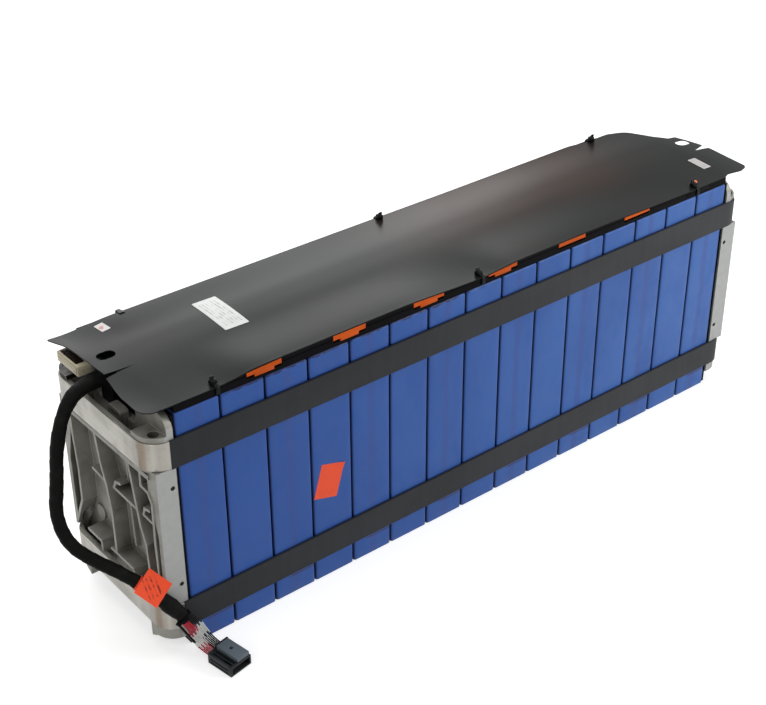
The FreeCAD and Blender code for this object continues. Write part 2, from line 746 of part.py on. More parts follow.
def tray_rim_cuts():
    """Notches of the rim for the cap tabs, slots for the ties and the loom's way out."""
    notches = []
    slots = []
    posts = []
    tab_half = CAP_TAB_WIDTH / 2 + TIE_FIT
    tie_half = TIE_WIDTH / 2 + TIE_FIT
    tab_low = TRAY_TOP - CAP_TOP_GAP - CAP_TAB_HEIGHT
    tie_high = TRAY_FLOOR + TIE_THICK + 2 * TIE_FIT
    for side in (-1, 1):
        y0, y1 = sorted((side * (TRAY_Y - TRAY_WALL - JOIN), side * (TRAY_Y + JOIN)))
        for index in seams_of(side):
            x = seam_x(index)
            notches.append(block(x - tab_half, x + tab_half, y0, y1, tab_low, TRAY_TOP + JOIN))
        for x in TIE_X:
            posts.append(tie_post_room(x, side, 0.0))
            slots.append(block(x - tie_half, x + tie_half, y0, y1, TRAY_FLOOR, tie_high))
    opened = Part.makeCompound(notches).cut(Part.makeCompound(posts))
    gap_y = (RIM_GAP_FRONT_Y, SIDE - RIM_GAP_FROM_SIDE)
    gap_x = (-TRAY_X - JOIN, -TRAY_X + TRAY_WALL + JOIN)
    return [opened, block(*gap_x, *gap_y, TRAY_FLOOR, TRAY_TOP + JOIN)] + slots


def tray():
    """Moulded frame: floor with windows, rim, two long ribs and notches for what crosses it."""
    floor = block(-TRAY_X, TRAY_X, -TRAY_Y, TRAY_Y, CELL_HEIGHT, TRAY_FLOOR)
    inner_x = TRAY_X - TRAY_WALL
    inner_y = TRAY_Y - TRAY_WALL
    rim = block(-TRAY_X, TRAY_X, -TRAY_Y, TRAY_Y, CELL_HEIGHT, TRAY_TOP)
    rim = rim.cut(block(-inner_x, inner_x, -inner_y, inner_y, CELL_HEIGHT - JOIN, TRAY_TOP + JOIN))
    ribs = []
    rib_start = TRAY_RIB_NEAR_SETBACK - TRAY_X
    for side in (-1, 1):
        y0, y1 = sorted((side * TRAY_RIB_Y, side * (TRAY_RIB_Y + TRAY_WALL)))
        ribs.append(block(rib_start, inner_x, y0, y1, CELL_HEIGHT, TRAY_TOP))
    body = fuse([floor, rim] + ribs)
    for cutter in tray_windows() + tray_rim_cuts():
        body = body.cut(cutter)
    return body.cut(sensing_film(TIE_FIT))


def sensing_film(grow=0.0):
    """Long strip down the middle with a finger to every bus bar and output plate."""
    z0 = TRAY_FLOOR
    z1 = TRAY_FLOOR + FLEX_THICK + grow
    half = FLEX_WIDTH / 2 + grow
    reach = cell_x(CELL_COUNT - 1) + FLEX_FINGER / 2 + grow
    strips = [block(-reach, reach, -half, half, z0, z1)]
    finger = FLEX_FINGER / 2 + grow
    y_end = TERMINAL_Y - BAR_WIDTH / 2 + FLEX_OVERLAP + grow
    stops = [(seam_x(index), side) for side in (-1, 1) for index in seams_of(side)]
    stops += [(cell_x(0), -1), (cell_x(CELL_COUNT - 1), 1)]
    for x, side in stops:
        y0, y1 = sorted((side * FLEX_WIDTH / 4, side * y_end))
        strips.append(block(x - finger, x + finger, y0, y1, z0, z1))
    return fuse(strips)


def bus_bar(index, side):
    """Flat link over two terminals with a low arch at the seam."""
    half = PITCH / 2 + BAR_OVERLAP
    arch = BAR_ARCH_HALF
    crown = BAR_ARCH_HALF / 2
    under = [
        (-half, 0, 0),
        (-arch, 0, BAR_BEND_R),
        (-crown, BAR_ARCH, BAR_BEND_R),
        (crown, BAR_ARCH, BAR_BEND_R),
        (arch, 0, BAR_BEND_R),
        (half, 0, 0),
    ]
    over = [(a, b + BAR_THICK, radius) for a, b, radius in reversed(under)]
    y0 = side * TERMINAL_Y - BAR_WIDTH / 2
    x = seam_x(index)
    wire = rounded_wire(under + over, lambda a, b: Vector(x + a, y0, BAR_BOTTOM + b))
    return Part.Face(wire).extrude(Vector(0, BAR_WIDTH, 0))


def bus_bars(side):
    """All links of one row."""
    return Part.makeCompound([bus_bar(index, side) for index in seams_of(side)])


def output_bar(end):
    """Plate on the free terminal at one end of the chain, with its bolt hole."""
    x = cell_x(0 if end < 0 else CELL_COUNT - 1)
    y = end * TERMINAL_Y
    half_x = TERMINAL_LENGTH / 2 + OUTPUT_MARGIN
    plate = rounded_block(half_x, BAR_WIDTH / 2, OUTPUT_CORNER_R, BAR_BOTTOM, BAR_TOP, (x, y))
    foot = Vector(x, y, BAR_BOTTOM - JOIN)
    return plate.cut(Part.makeCylinder(OUTPUT_HOLE_R, BAR_THICK + 2 * JOIN, foot))


def bar_cap(index, side):
    """Moulded lid over a link: top and three walls, with a tab that shows at the tray's rim."""
    x = seam_x(index)
    half = cap_half()
    y_in = CAP_INNER_Y
    y_out = TERMINAL_Y + BAR_WIDTH / 2 + CAP_MARGIN
    top = TRAY_TOP - CAP_TOP_GAP
    y0, y1 = sorted((side * y_in, side * y_out))
    shell = block(x - half, x + half, y0, y1, TRAY_FLOOR, top)
    y0, y1 = sorted((side * (y_in - JOIN), side * (y_out - CAP_WALL)))
    room = half - CAP_WALL
    shell = shell.cut(block(x - room, x + room, y0, y1, TRAY_FLOOR - JOIN, top - CAP_WALL))
    y0, y1 = sorted((side * (y_out - CAP_WALL), side * (TRAY_Y + CAP_TAB_PROUD)))
    tab_half = CAP_TAB_WIDTH / 2
    tab = block(x - tab_half, x + tab_half, y0, y1, top - CAP_TAB_HEIGHT, top)
    cap = fuse([shell, tab])
    for tie_x in TIE_X:
        cap = cap.cut(tie_post_room(tie_x, side, TIE_FIT))
    return cap


def bar_caps(side):
    """All lids of one row."""
    return Part.makeCompound([bar_cap(index, side) for index in seams_of(side)])


def sensing_board():
    """L-shaped board: its arm lies on the film and its head reaches out past the stack."""
    z0 = TRAY_FLOOR + FLEX_THICK
    front = BOARD_ARM_FRONT_Y
    split = HEADER_MIDDLE_Y - HEADER_LENGTH / 2
    back = HEADER_MIDDLE_Y + HEADER_LENGTH / 2
    near = -STACK_HALF - BOARD_REACH
    neck = -STACK_HALF - BOARD_NECK
    head = -STACK_HALF + BOARD_OVERHANG
    inner = cell_x(0) + BOARD_ARM_REACH
    arm_back = split - BOARD_OVERHANG
    plan = (
        (near, split),
        (neck, split),
        (neck, front),
        (inner, front),
        (inner, arm_back),
        (head, arm_back),
        (head, back),
        (near, back),
    )
    return plan_prism([(x, y, BOARD_CORNER_R) for x, y in plan], z0, z0 + BOARD_THICK)


def header_box(depth0, depth1, margin):
    """Block inside the header's outline, between two depths from its front."""
    x0 = -STACK_HALF - HEADER_REACH
    y0 = HEADER_MIDDLE_Y - HEADER_LENGTH / 2 + margin
    y1 = HEADER_MIDDLE_Y + HEADER_LENGTH / 2 - margin
    top = TRAY_FLOOR + FLEX_THICK
    return block(x0 + depth0, x0 + depth1, y0, y1, top - HEADER_HEIGHT + margin, top - margin)


def board_header():
    """Open-fronted wire header hung under the board's head."""
    room = header_box(-JOIN, HEADER_DEPTH - HEADER_FLOOR, HEADER_WALL)
    return header_box(0, HEADER_DEPTH, 0).cut(room)


def header_plug():
    """Wire plug pushed into the board header, nearly flush with its front."""
    margin = HEADER_WALL + HEADER_FIT
    return header_box(-HEADER_PLUG_STANDOUT, HEADER_DEPTH - HEADER_FLOOR, margin)


def cover_outline():
    """Plan of the cover sheet, anticlockwise from the front near corner."""
    half = COVER_HALF
    near = COVER_NEAR_X
    far = COVER_FAR_X
    tab_back = COVER_FAR_TAB_BACK_Y
    return [
        (near - 6.0, -half, 9.0),
        (far - 38.0, -half, 9.0),
        (far - 31.0, -half + 3.0, 6.0),
        (far - 16.0, -half + 1.0, 12.0),
        (far - 4.0, -half + 5.0, 7.0),
        (far, -10.0, 60.0),
        (far - 8.0, tab_back, 1.5),
        (far - 16.0, tab_back + 1.0, 1.5),
        (far - 24.0, tab_back + 12.4, 12.0),
        (far - 34.0, half - 10.0, 16.0),
        (far - 50.0, half - 3.0, 12.0),
        (far - 78.0, half - 3.0, 30.0),
        (far - 96.0, half, 30.0),
        (near - 8.0, half - 4.0, 0.8),
        (near - 1.6, half - 21.0, 30.0),
        (near, -5.0, 25.0),
        (near - 5.0, -36.0, 20.0),
    ]


def cover_slit(edge, tip, half_mouth):
    """Narrow wedge torn in from an end of the sheet; edge and tip are places in plan."""
    plan = [(edge[0], edge[1] - half_mouth, 0), (*tip, 0), (edge[0], edge[1] + half_mouth, 0)]
    return plan_prism(plan, TRAY_TOP - COVER_CURL_ROOM, TRAY_TOP + COVER_CURL_ROOM)


def cover_band():
    """Bent blank of the sheet: flat over the tray, up at the near end and down at the far end."""
    flat = COVER_FLAT_HALF
    run = COVER_FAR_X + COVER_CURL_SPARE - flat
    radius = COVER_CURL_R
    bend = math.asin(run / radius)

    def layer(lift):
        """Near arc, flat and far arc of one face of the sheet, at a height above its underside."""
        z = TRAY_TOP + lift
        up = [Vector(-flat, 0, z), 0, 0]
        down = [Vector(flat, 0, z), 0, 0]
        for step in (1, 2):
            out = radius * math.sin(bend * step / 2)
            rise = radius * (1 - math.cos(bend * step / 2))
            up[step] = Vector(-flat - out, 0, z + rise)
            down[step] = Vector(flat + out, 0, z - rise)
        near = Part.Arc(up[2], up[1], up[0]).toShape()
        level = Part.LineSegment(up[0], down[0]).toShape()
        far = Part.Arc(*down).toShape()
        return [near, level, far], (up[2], down[2])

    low, (near_low, far_low) = layer(0.0)
    high, (near_high, far_high) = layer(COVER_THICK)
    ends = [
        Part.LineSegment(near_low, near_high).toShape(),
        Part.LineSegment(far_low, far_high).toShape(),
    ]
    profile = Part.Wire(Part.__sortEdges__(low + high + ends))
    band = Part.Face(profile).extrude(Vector(0, 2 * SIDE, 0))
    band.translate(Vector(0, -SIDE, 0))
    return band


def cover_sheet():
    """Thin sheet cut to its outline, with two long holes, two slits and a slot for every tie."""
    low = TRAY_TOP - COVER_CURL_ROOM
    high = TRAY_TOP + COVER_CURL_ROOM
    sheet = cover_band().common(plan_prism(cover_outline(), low, high))
    near_edge = (COVER_NEAR_X - JOIN, COVER_NEAR_SLIT_Y)
    near_tip = (COVER_NEAR_X + COVER_NEAR_SLIT, COVER_NEAR_SLIT_Y)
    far_edge = (COVER_FAR_X + JOIN, COVER_FAR_SLIT_Y)
    far_tip = (COVER_FAR_X - COVER_FAR_SLIT, COVER_FAR_SLIT_Y - COVER_FAR_SLIT_SLANT)
    cuts = [
        cover_slit(near_edge, near_tip, COVER_NEAR_SLIT_MOUTH / 2),
        cover_slit(far_edge, far_tip, COVER_FAR_SLIT_MOUTH / 2),
    ]
    hole_half_x = COVER_HOLE_LENGTH / 2
    hole_half_y = COVER_HOLE_WIDTH / 2
    near_hole = (COVER_NEAR_X + COVER_NEAR_HOLE_SETBACK, COVER_NEAR_HOLE_Y)
    far_hole = (COVER_FAR_X - COVER_FAR_HOLE_SETBACK, COVER_FAR_HOLE_Y)
    for middle in (near_hole, far_hole):
        radius = hole_half_y - COVER_HOLE_EDGE
        cuts.append(rounded_block(hole_half_x, hole_half_y, radius, low, high, middle))
    half_x = TIE_WIDTH / 2 + TIE_FIT
    half_y = TIE_THICK / 2 + TIE_FIT
    for x in TIE_X:
        for side in (-1, 1):
            y = side * (TRAY_Y - TIE_FROM_EDGE)
            cuts.append(block(x - half_x, x + half_x, y - half_y, y + half_y, low, high))
    for cutter in cuts:
        sheet = sheet.cut(cutter)
    return sheet


def cover_tie(x, side):
    """Nylon tie: a loop through the sheet and the tray's rim, its head on the sheet and its cut tail."""
    half = TIE_WIDTH / 2
    y_out = TRAY_Y + TIE_FIT + TIE_THICK
    y_mid = TRAY_Y - TIE_FROM_EDGE
    y_in = y_mid - TIE_THICK / 2
    low = TRAY_FLOOR + TIE_FIT
    base = COVER_TOP + TIE_FIT
    outer = block(x - half, x + half, y_in, y_out, low, base + TIE_THICK)
    hole_y = (y_in + TIE_THICK, y_out - TIE_THICK)
    inner = block(x - half - JOIN, x + half + JOIN, *hole_y, low + TIE_THICK, base)
    head_half = TIE_HEAD / 2
    head_y = (y_mid - head_half, y_mid + head_half)
    head = block(x - head_half, x + head_half, *head_y, base, base + TIE_HEAD_HEIGHT)
    tail_top = base + TIE_HEAD_HEIGHT + TIE_TAIL
    tail = block(x - half, x + half, y_in, y_in + TIE_THICK, base - TIE_TAIL, tail_top)
    tail.rotate(Vector(x, y_mid, base), Vector(1, 0, 0), TIE_TAIL_TILT)
    reach = 2 * TIE_HEAD
    above = block(x - half, x + half, y_mid - reach, y_mid + reach, base, base + 2 * reach)
    loop = fuse([outer.cut(inner), head, tail.common(above)])
    if side < 0:
        loop.rotate(Vector(x, 0, 0), Vector(0, 0, 1), 180)
    return loop


def cover_ties():
    """All six ties, three on each long edge."""
    return Part.makeCompound([cover_tie(x, side) for x in TIE_X for side in (-1, 1)])


def flat_label(middle, size, turn):
    """Label on the sheet, turned by a few degrees as it was stuck."""
    length, width = size
    label = rounded_block(length / 2, width / 2, LABEL_CORNER_R, COVER_TOP, COVER_TOP + LABEL_THICK)
    label.rotate(Vector(0, 0, 0), Vector(0, 0, 1), turn)
    label.translate(Vector(middle[0], middle[1], 0))
    return label


def cell_label():
    """Small label stuck askew on the front of the fourth cell."""
    a = CELL_LABEL_WIDTH / 2
    b = CELL_LABEL_HEIGHT / 2
    corners = [(x, z, LABEL_CORNER_R) for x, z in ((-a, -b), (a, -b), (a, b), (-a, b))]
    wire = rounded_wire(corners, lambda x, z: Vector(x, 0, z))
    label = Part.Face(wire).extrude(Vector(0, -LABEL_THICK, 0))
    label.rotate(Vector(0, 0, 0), Vector(0, 1, 0), CELL_LABEL_TURN)
    x = cell_x(CELL_LABEL_INDEX_COUNT) + CELL_LABEL_SHIFT
    label.translate(Vector(x, -SIDE, CELL_LABEL_RISE))
    return label


def tube(points, radius):
    """Round cord along straight runs joined by tangent arcs; returns its solid, length and radii."""
    route = [Vector(*point) for point in points]
    edges = []
    radii = []
    start = route[0]
    for i in range(1, len(route) - 1):
        back = route[i - 1] - route[i]
        on = route[i + 1] - route[i]
        turn = math.pi - back.getAngle(on)
        cut = 0.45 * min(back.Length, on.Length)
        bend = cut / math.tan(turn / 2)
        back.normalize()
        on.normalize()
        first = route[i] + back * cut
        last = route[i] + on * cut
        half = (math.pi - turn) / 2
        centre = route[i] + (back + on).normalize() * (bend / math.sin(half))
        middle = centre + (route[i] - centre).normalize() * bend
        edges.append(Part.LineSegment(start, first).toShape())
        edges.append(Part.Arc(first, middle, last).toShape())
        radii.append(bend)
        start = last
    edges.append(Part.LineSegment(start, route[-1]).toShape())
    path = Part.Wire(edges)
    profile = Part.Wire(Part.Circle(route[0], route[1] - route[0], radius).toShape())
    return path.makePipeShell([profile], True, False), path.Length, radii


def loom_clip():
    """Plastic clip on the low middle of the near casting; the loom leaves through its face."""
    half = CLIP_WIDTH / 2
    y0 = LOOM_EXIT_Y - half
    y1 = LOOM_EXIT_Y + half
    top = CLIP_SEAT + CLIP_HEIGHT
    corners = [(y0, CLIP_SEAT, 0), (y1, CLIP_SEAT, 0), (y1, top, CLIP_CORNER_R), (y0, top, CLIP_CORNER_R)]
    wire = rounded_wire(corners, lambda y, z: Vector(LOOM_EXIT.x, y, z))
    return Part.Face(wire).extrude(Vector(CLIP_DEPTH, 0, 0))


def plug_place(across, along, up):
    """Point of the plug: across from its middle line, along from its rear and up from the floor."""
    turn = math.radians(PLUG_TURN)
    right = Vector(math.cos(turn), math.sin(turn), 0)
    front = Vector(math.sin(turn), -math.cos(turn), 0)
    return PLUG_REAR + right * across + front * along + Vector(0, 0, up)


def lead_points(side):
    """Route of one bunch of leads from the loom's cut end to the back of the plug."""
    across = (Vector(1, 0, 0) - LOOM_END_ALONG * LOOM_END_ALONG.x).normalize()
    start = LOOM_END + across * (side * (LEAD_R + LEAD_GAP))
    second = start + LOOM_END_ALONG * LEAD_FIRST_RUN
    goal = plug_place(side * LEAD_SPREAD, 0, LEAD_HEIGHT)
    last = plug_place(side * LEAD_SPREAD, -LEAD_LAST_RUN, LEAD_HEIGHT)
    middle = second + (last - second) * LEAD_MIDDLE_SHARE + Vector(0, LEAD_MIDDLE_BULGE, 0)
    return [tuple(start), tuple(second), tuple(middle), tuple(last), tuple(goal)]


def marker_sleeve(side):
    """White marker sleeve that follows one bunch over its steep stretch."""
    points = [Vector(*point) for point in lead_points(side)]
    inner = LEAD_R + MARKER_FIT
    outer, _, _ = tube(lead_points(side), inner + MARKER_WALL)
    bore, _, _ = tube(lead_points(side), inner)
    along = (points[3] - points[2]).normalize()
    start = points[2] + along * (side * MARKER_STAGGER - MARKER_SETBACK)
    room = Part.makeCylinder(3 * LEAD_R, MARKER_LENGTH, start, along)
    return outer.cut(bore).common(room)


def plug_block(across, along, up):
    """Block of the plug between two values each of across, along and up."""
    size = (across[1] - across[0], along[1] - along[0], up[1] - up[0])
    solid = Part.makeBox(*size, Vector(across[0], -along[1], up[0]))
    solid.rotate(Vector(0, 0, 0), Vector(0, 0, 1), PLUG_TURN)
    solid.translate(PLUG_REAR)
    return solid


def plug():
    """Rectangular cable plug lying on the floor: raised ridge, long grooves and an open mating end."""
    half = PLUG_WIDTH / 2
    body = rounded_block(half, PLUG_LENGTH / 2, PLUG_CORNER_R, 0, PLUG_HEIGHT, (0, -PLUG_LENGTH / 2))
    body.rotate(Vector(0, 0, 0), Vector(0, 0, 1), PLUG_TURN)
    body.translate(PLUG_REAR)
    ridge_start = half - PLUG_RIDGE_MARGIN - PLUG_RIDGE_WIDTH
    ridge = plug_block(
        (ridge_start, half - PLUG_RIDGE_MARGIN),
        (PLUG_RIDGE_MARGIN, PLUG_LENGTH - PLUG_RIDGE_MARGIN),
        (PLUG_HEIGHT - PLUG_GROOVE_DEPTH, PLUG_HEIGHT + PLUG_RIDGE_HEIGHT),
    )
    body = fuse([body, ridge])
    inner = half - PLUG_WALL
    depth = (PLUG_LENGTH - PLUG_CAVITY_DEPTH, PLUG_LENGTH + JOIN)
    body = body.cut(plug_block((-inner, inner), depth, (PLUG_WALL, PLUG_HEIGHT - PLUG_WALL)))
    groove_depth = (PLUG_HEIGHT - PLUG_GROOVE_DEPTH, PLUG_HEIGHT + JOIN)
    for index in range(PLUG_GROOVE_COUNT):
        start = ridge_start - PLUG_GROOVE_PITCH * (index + 1)
        across = (start, start + PLUG_GROOVE_WIDTH)
        body = body.cut(plug_block(across, (-JOIN, PLUG_LENGTH - PLUG_WALL), groove_depth))
    return body


def loom_station(index, share):
    """Point and direction on one straight run of the loom."""
    a = Vector(*LOOM_POINTS[index])
    b = Vector(*LOOM_POINTS[index + 1])
    return a + (b - a) * share, (b - a).normalize()


def loom_tag():
    """Flag label folded round the loom near its end: a wrap that follows it and a flat flap."""
    point, along = loom_station(RUNS_BEFORE_TAG_COUNT, TAG_SHARE)
    inner = LOOM_R + TAG_FIT
    outer = inner + 2 * TAG_THICK
    start = point - along * (TAG_SIZE / 2)
    wrap = Part.makeCylinder(outer, TAG_SIZE, start, along).cut(tube(LOOM_POINTS, inner)[0])
    up = (Vector(*TAG_UP) - along * along.dot(Vector(*TAG_UP))).normalize()
    front = up.cross(along).normalize()
    if front.y > 0:
        front = -front
    corner = start + front * (outer - TAG_THICK) - up * TAG_BELOW
    reach = along * TAG_SIZE
    rise = up * TAG_SIZE
    outline = Part.makePolygon([corner, corner + reach, corner + reach + rise, corner + rise, corner])
    return fuse([wrap, Part.Face(outline).extrude(front * TAG_THICK)])


def loom_tie():
    """Small tie round the loom at the mouth of its tape, with a head and a trimmed tail."""
    point, along = loom_station(len(LOOM_POINTS) - 2, LOOM_TIE_SHARE)
    inner = LOOM_R + LOOM_TIE_FIT
    start = point - along * (LOOM_TIE_WIDTH / 2)
    ring = Part.makeCylinder(inner + LOOM_TIE_THICK, LOOM_TIE_WIDTH, start, along)
    ring = ring.cut(Part.makeCylinder(inner, LOOM_TIE_WIDTH + 2 * JOIN, start - along * JOIN, along))
    out = (along * along.x - Vector(1, 0, 0)).normalize()
    across = along.cross(out).normalize()

    def bar(width, first, length, low, height):
        """Square bar beside the ring: its width across, a stretch along and a stretch outwards."""
        corner = start + along * first - across * (width / 2) + out * low
        side = across * width
        rise = out * height
        outline = Part.makePolygon([corner, corner + side, corner + side + rise, corner + rise, corner])
        return Part.Face(outline).extrude(along * length)

    low = inner + LOOM_TIE_FIT
    head = bar(LOOM_TIE_HEAD, 0, LOOM_TIE_WIDTH, low, LOOM_TIE_HEAD_HEIGHT)
    tail = bar(LOOM_TIE_THICK, 0, LOOM_TIE_TAIL, low + JOIN, LOOM_TIE_WIDTH - JOIN)
    return fuse([ring, head, tail])


def write(node, shape):
    """Check one sub-part and write it to its own file."""
    if not shape.isValid() or not shape.Solids:
        raise RuntimeError("bad shape: " + node)
    shape.exportStep("parts/" + node + ".step")
    print(node, len(shape.Solids), "solid(s)", round(shape.Volume / 1000.0, 2), "cm3")


def build():
    """All sub-parts by node name."""
    shapes = {}
    for index in range(CELL_COUNT):
        shapes["cell_%02d" % (index + 1)] = cell(index)
    shapes["cell_spacers"] = cell_spacers()
    shapes["cell_terminals"] = cell_terminals()
    for end, name in ((-1, "near"), (1, "far")):
        shapes["end_insulator_" + name] = end_insulator(end)
        shapes["end_plate_" + name] = end_plate(end)
        shapes["output_bar_" + name] = output_bar(end)
    for z0, level in ((UPPER_BOTTOM, "upper"), (LOWER_BOTTOM, "lower")):
        shapes["strap_" + level] = strap(z0)
        for side, row in ((-1, "front"), (1, "back")):
            shapes["strap_sleeve_" + level + "_" + row] = strap_sleeve(z0, side)
    for side, row in ((-1, "front"), (1, "back")):
        shapes["bus_bars_" + row] = bus_bars(side)
        shapes["bar_caps_" + row] = bar_caps(side)
    shapes["bus_bar_tray"] = tray()
    shapes["sensing_film"] = sensing_film()
    shapes["sensing_board"] = sensing_board()
    shapes["board_header"] = board_header()
    shapes["header_plug"] = header_plug()
    shapes["top_cover"] = cover_sheet()
    shapes["cover_ties"] = cover_ties()
    place = (COVER_NEAR_X + LONG_LABEL_SETBACK, LONG_LABEL_Y)
    shapes["cover_label_long"] = flat_label(place, LONG_LABEL_SIZE, LONG_LABEL_TURN)
    place = (COVER_NEAR_X + NEAR_LABEL_SETBACK, SIDE - NEAR_LABEL_FROM_SIDE)
    shapes["cover_label_near"] = flat_label(place, NEAR_LABEL_SIZE, NEAR_LABEL_TURN)
    place = (COVER_FAR_X - FAR_LABEL_SETBACK, FAR_LABEL_FROM_SIDE - SIDE)
    shapes["cover_label_far"] = flat_label(place, FAR_LABEL_SIZE, FAR_LABEL_TURN)
    shapes["cell_label"] = cell_label()
    shapes["loom_clip"] = loom_clip()
    loom, length, radii = tube(LOOM_POINTS, LOOM_R)
    shapes["signal_loom"] = loom
    print("loom length", round(length, 1), "radii", [round(r, 1) for r in radii])
    print("loom volume", round(loom.Volume), "section x length", round(math.pi * LOOM_R**2 * length))
    for side, colour in ((-1, "red"), (1, "black")):
        bunch, length, radii = tube(lead_points(side), LEAD_R)
        shapes["leads_" + colour] = bunch
        shapes["marker_sleeve_" + colour] = marker_sleeve(side)
        print("leads", colour, round(length, 1), [round(r, 1) for r in radii])
        print("volume", round(bunch.Volume), round(math.pi * LEAD_R**2 * length))
    shapes["loom_plug"] = plug()
    shapes["loom_tag"] = loom_tag()
    shapes["loom_tie"] = loom_tie()
    return shapes


for part_name, part_shape in build().items():
    write(part_name, part_shape)
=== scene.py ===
"""Dressed model of a battery module of fifteen film-wrapped cells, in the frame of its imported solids.

Units are metres. +Z is up, +X runs along the stack to its far end and -Y is the front long side. Each
sub-assembly is a class that holds its own sizes and makes its own pieces. The solids that keep their
shape only get a finish here, and the rest stand behind a finer piece.
"""

import json
import logging
import math
from dataclasses import dataclass
from enum import Enum
from typing import Callable, Sequence

import bmesh
import bpy
from mathutils import Matrix, Vector, noise


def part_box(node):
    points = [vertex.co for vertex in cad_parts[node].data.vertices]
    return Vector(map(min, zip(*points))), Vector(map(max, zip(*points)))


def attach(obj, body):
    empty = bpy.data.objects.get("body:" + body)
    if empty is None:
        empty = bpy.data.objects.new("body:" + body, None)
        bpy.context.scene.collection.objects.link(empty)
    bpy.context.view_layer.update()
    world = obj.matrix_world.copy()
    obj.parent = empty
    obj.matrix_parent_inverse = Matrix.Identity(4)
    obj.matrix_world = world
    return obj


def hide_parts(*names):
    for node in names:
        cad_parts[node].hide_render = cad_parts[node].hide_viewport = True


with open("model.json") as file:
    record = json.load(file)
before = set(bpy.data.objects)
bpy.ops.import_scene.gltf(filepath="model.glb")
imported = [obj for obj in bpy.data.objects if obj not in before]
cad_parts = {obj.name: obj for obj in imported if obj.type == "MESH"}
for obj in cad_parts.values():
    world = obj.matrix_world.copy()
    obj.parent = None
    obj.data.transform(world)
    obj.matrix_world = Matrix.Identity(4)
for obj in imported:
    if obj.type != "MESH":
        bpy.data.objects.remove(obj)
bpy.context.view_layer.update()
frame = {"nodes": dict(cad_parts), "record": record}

Colour = tuple[float, float, float]
Point = tuple[float, float, float]
Span = tuple[float, float]
Socket = bpy.types.NodeSocket
Piece = bpy.types.Object
Material = bpy.types.Material
BMesh = bmesh.types.BMesh

MM = 0.001
BODY = "root"
SHARP = math.radians(32)
NOISE_LOW, NOISE_HIGH = 0.3, 0.7
WHITE = (1.0, 1.0, 1.0)

log = logging.getLogger("battery_module")


class Slot(Enum):
    """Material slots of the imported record."""

    CELL_FILM = "cell_film"
    CAST_METAL = "cast_metal"
    STRAP_STEEL = "strap_steel"
    SLEEVE_FILM = "sleeve_film"
    BLACK_SHEET = "black_sheet"
    BLACK_PLASTIC = "black_plastic"
    ORANGE_PLASTIC = "orange_plastic"
    BAR_METAL = "bar_metal"
    AMBER_FILM = "amber_film"
    BOARD_GREEN = "board_green"
    CREAM_PLASTIC = "cream_plastic"
    WHITE_LABEL = "white_label"
    ORANGE_LABEL = "orange_label"
    LOOM_TAPE = "loom_tape"
    RED_LEAD = "red_lead"
    BLACK_LEAD = "black_lead"
    WHITE_SLEEVE = "white_sleeve"
    PLUG_PLASTIC = "plug_plastic"


class Axis(Enum):
    """Directions that a pattern can run in."""

    X = 0
    Y = 1
    Z = 2


class NodeTree:
    """Node tree that is built by calls that each add a node and give back its socket."""

    def __init__(self, tree: bpy.types.NodeTree) -> None:
        """Takes the tree that is built on."""
        self.tree = tree

    def node(self, kind: str, inputs: dict | None = None, **settings: object) -> bpy.types.Node:
        """Adds one node.

        Args:
            kind: Blender's type name of the node.
            inputs: Values or sockets for its inputs, by name or number.
            settings: Properties of the node itself.

        Returns:
            The node.
        """
        made = self.tree.nodes.new(kind)
        for key, value in settings.items():
            setattr(made, key, value)
        for key, value in (inputs or {}).items():
            if isinstance(value, Socket):
                self.tree.links.new(value, made.inputs[key])
            else:
                made.inputs[key].default_value = value
        return made

    def number(self, operation: str, a: object, b: object = 0.0, clamp: bool = False) -> Socket:
        """Arithmetic on two values or sockets, held between 0 and 1 if wished."""
        made = self.node("ShaderNodeMath", {0: a, 1: b}, operation=operation, use_clamp=clamp)
        return made.outputs[0]

    def times(self, a: object, b: object) -> Socket:
        """Product of two values."""
        return self.number("MULTIPLY", a, b)

    def plus(self, a: object, b: object, clamp: bool = False) -> Socket:
        """Sum of two values."""
        return self.number("ADD", a, b, clamp)

    def minus(self, a: object, b: object, clamp: bool = False) -> Socket:
        """Difference of two values."""
        return self.number("SUBTRACT", a, b, clamp)

    def size(self, a: object) -> Socket:
        """A value without its sign."""
        return self.number("ABSOLUTE", a)


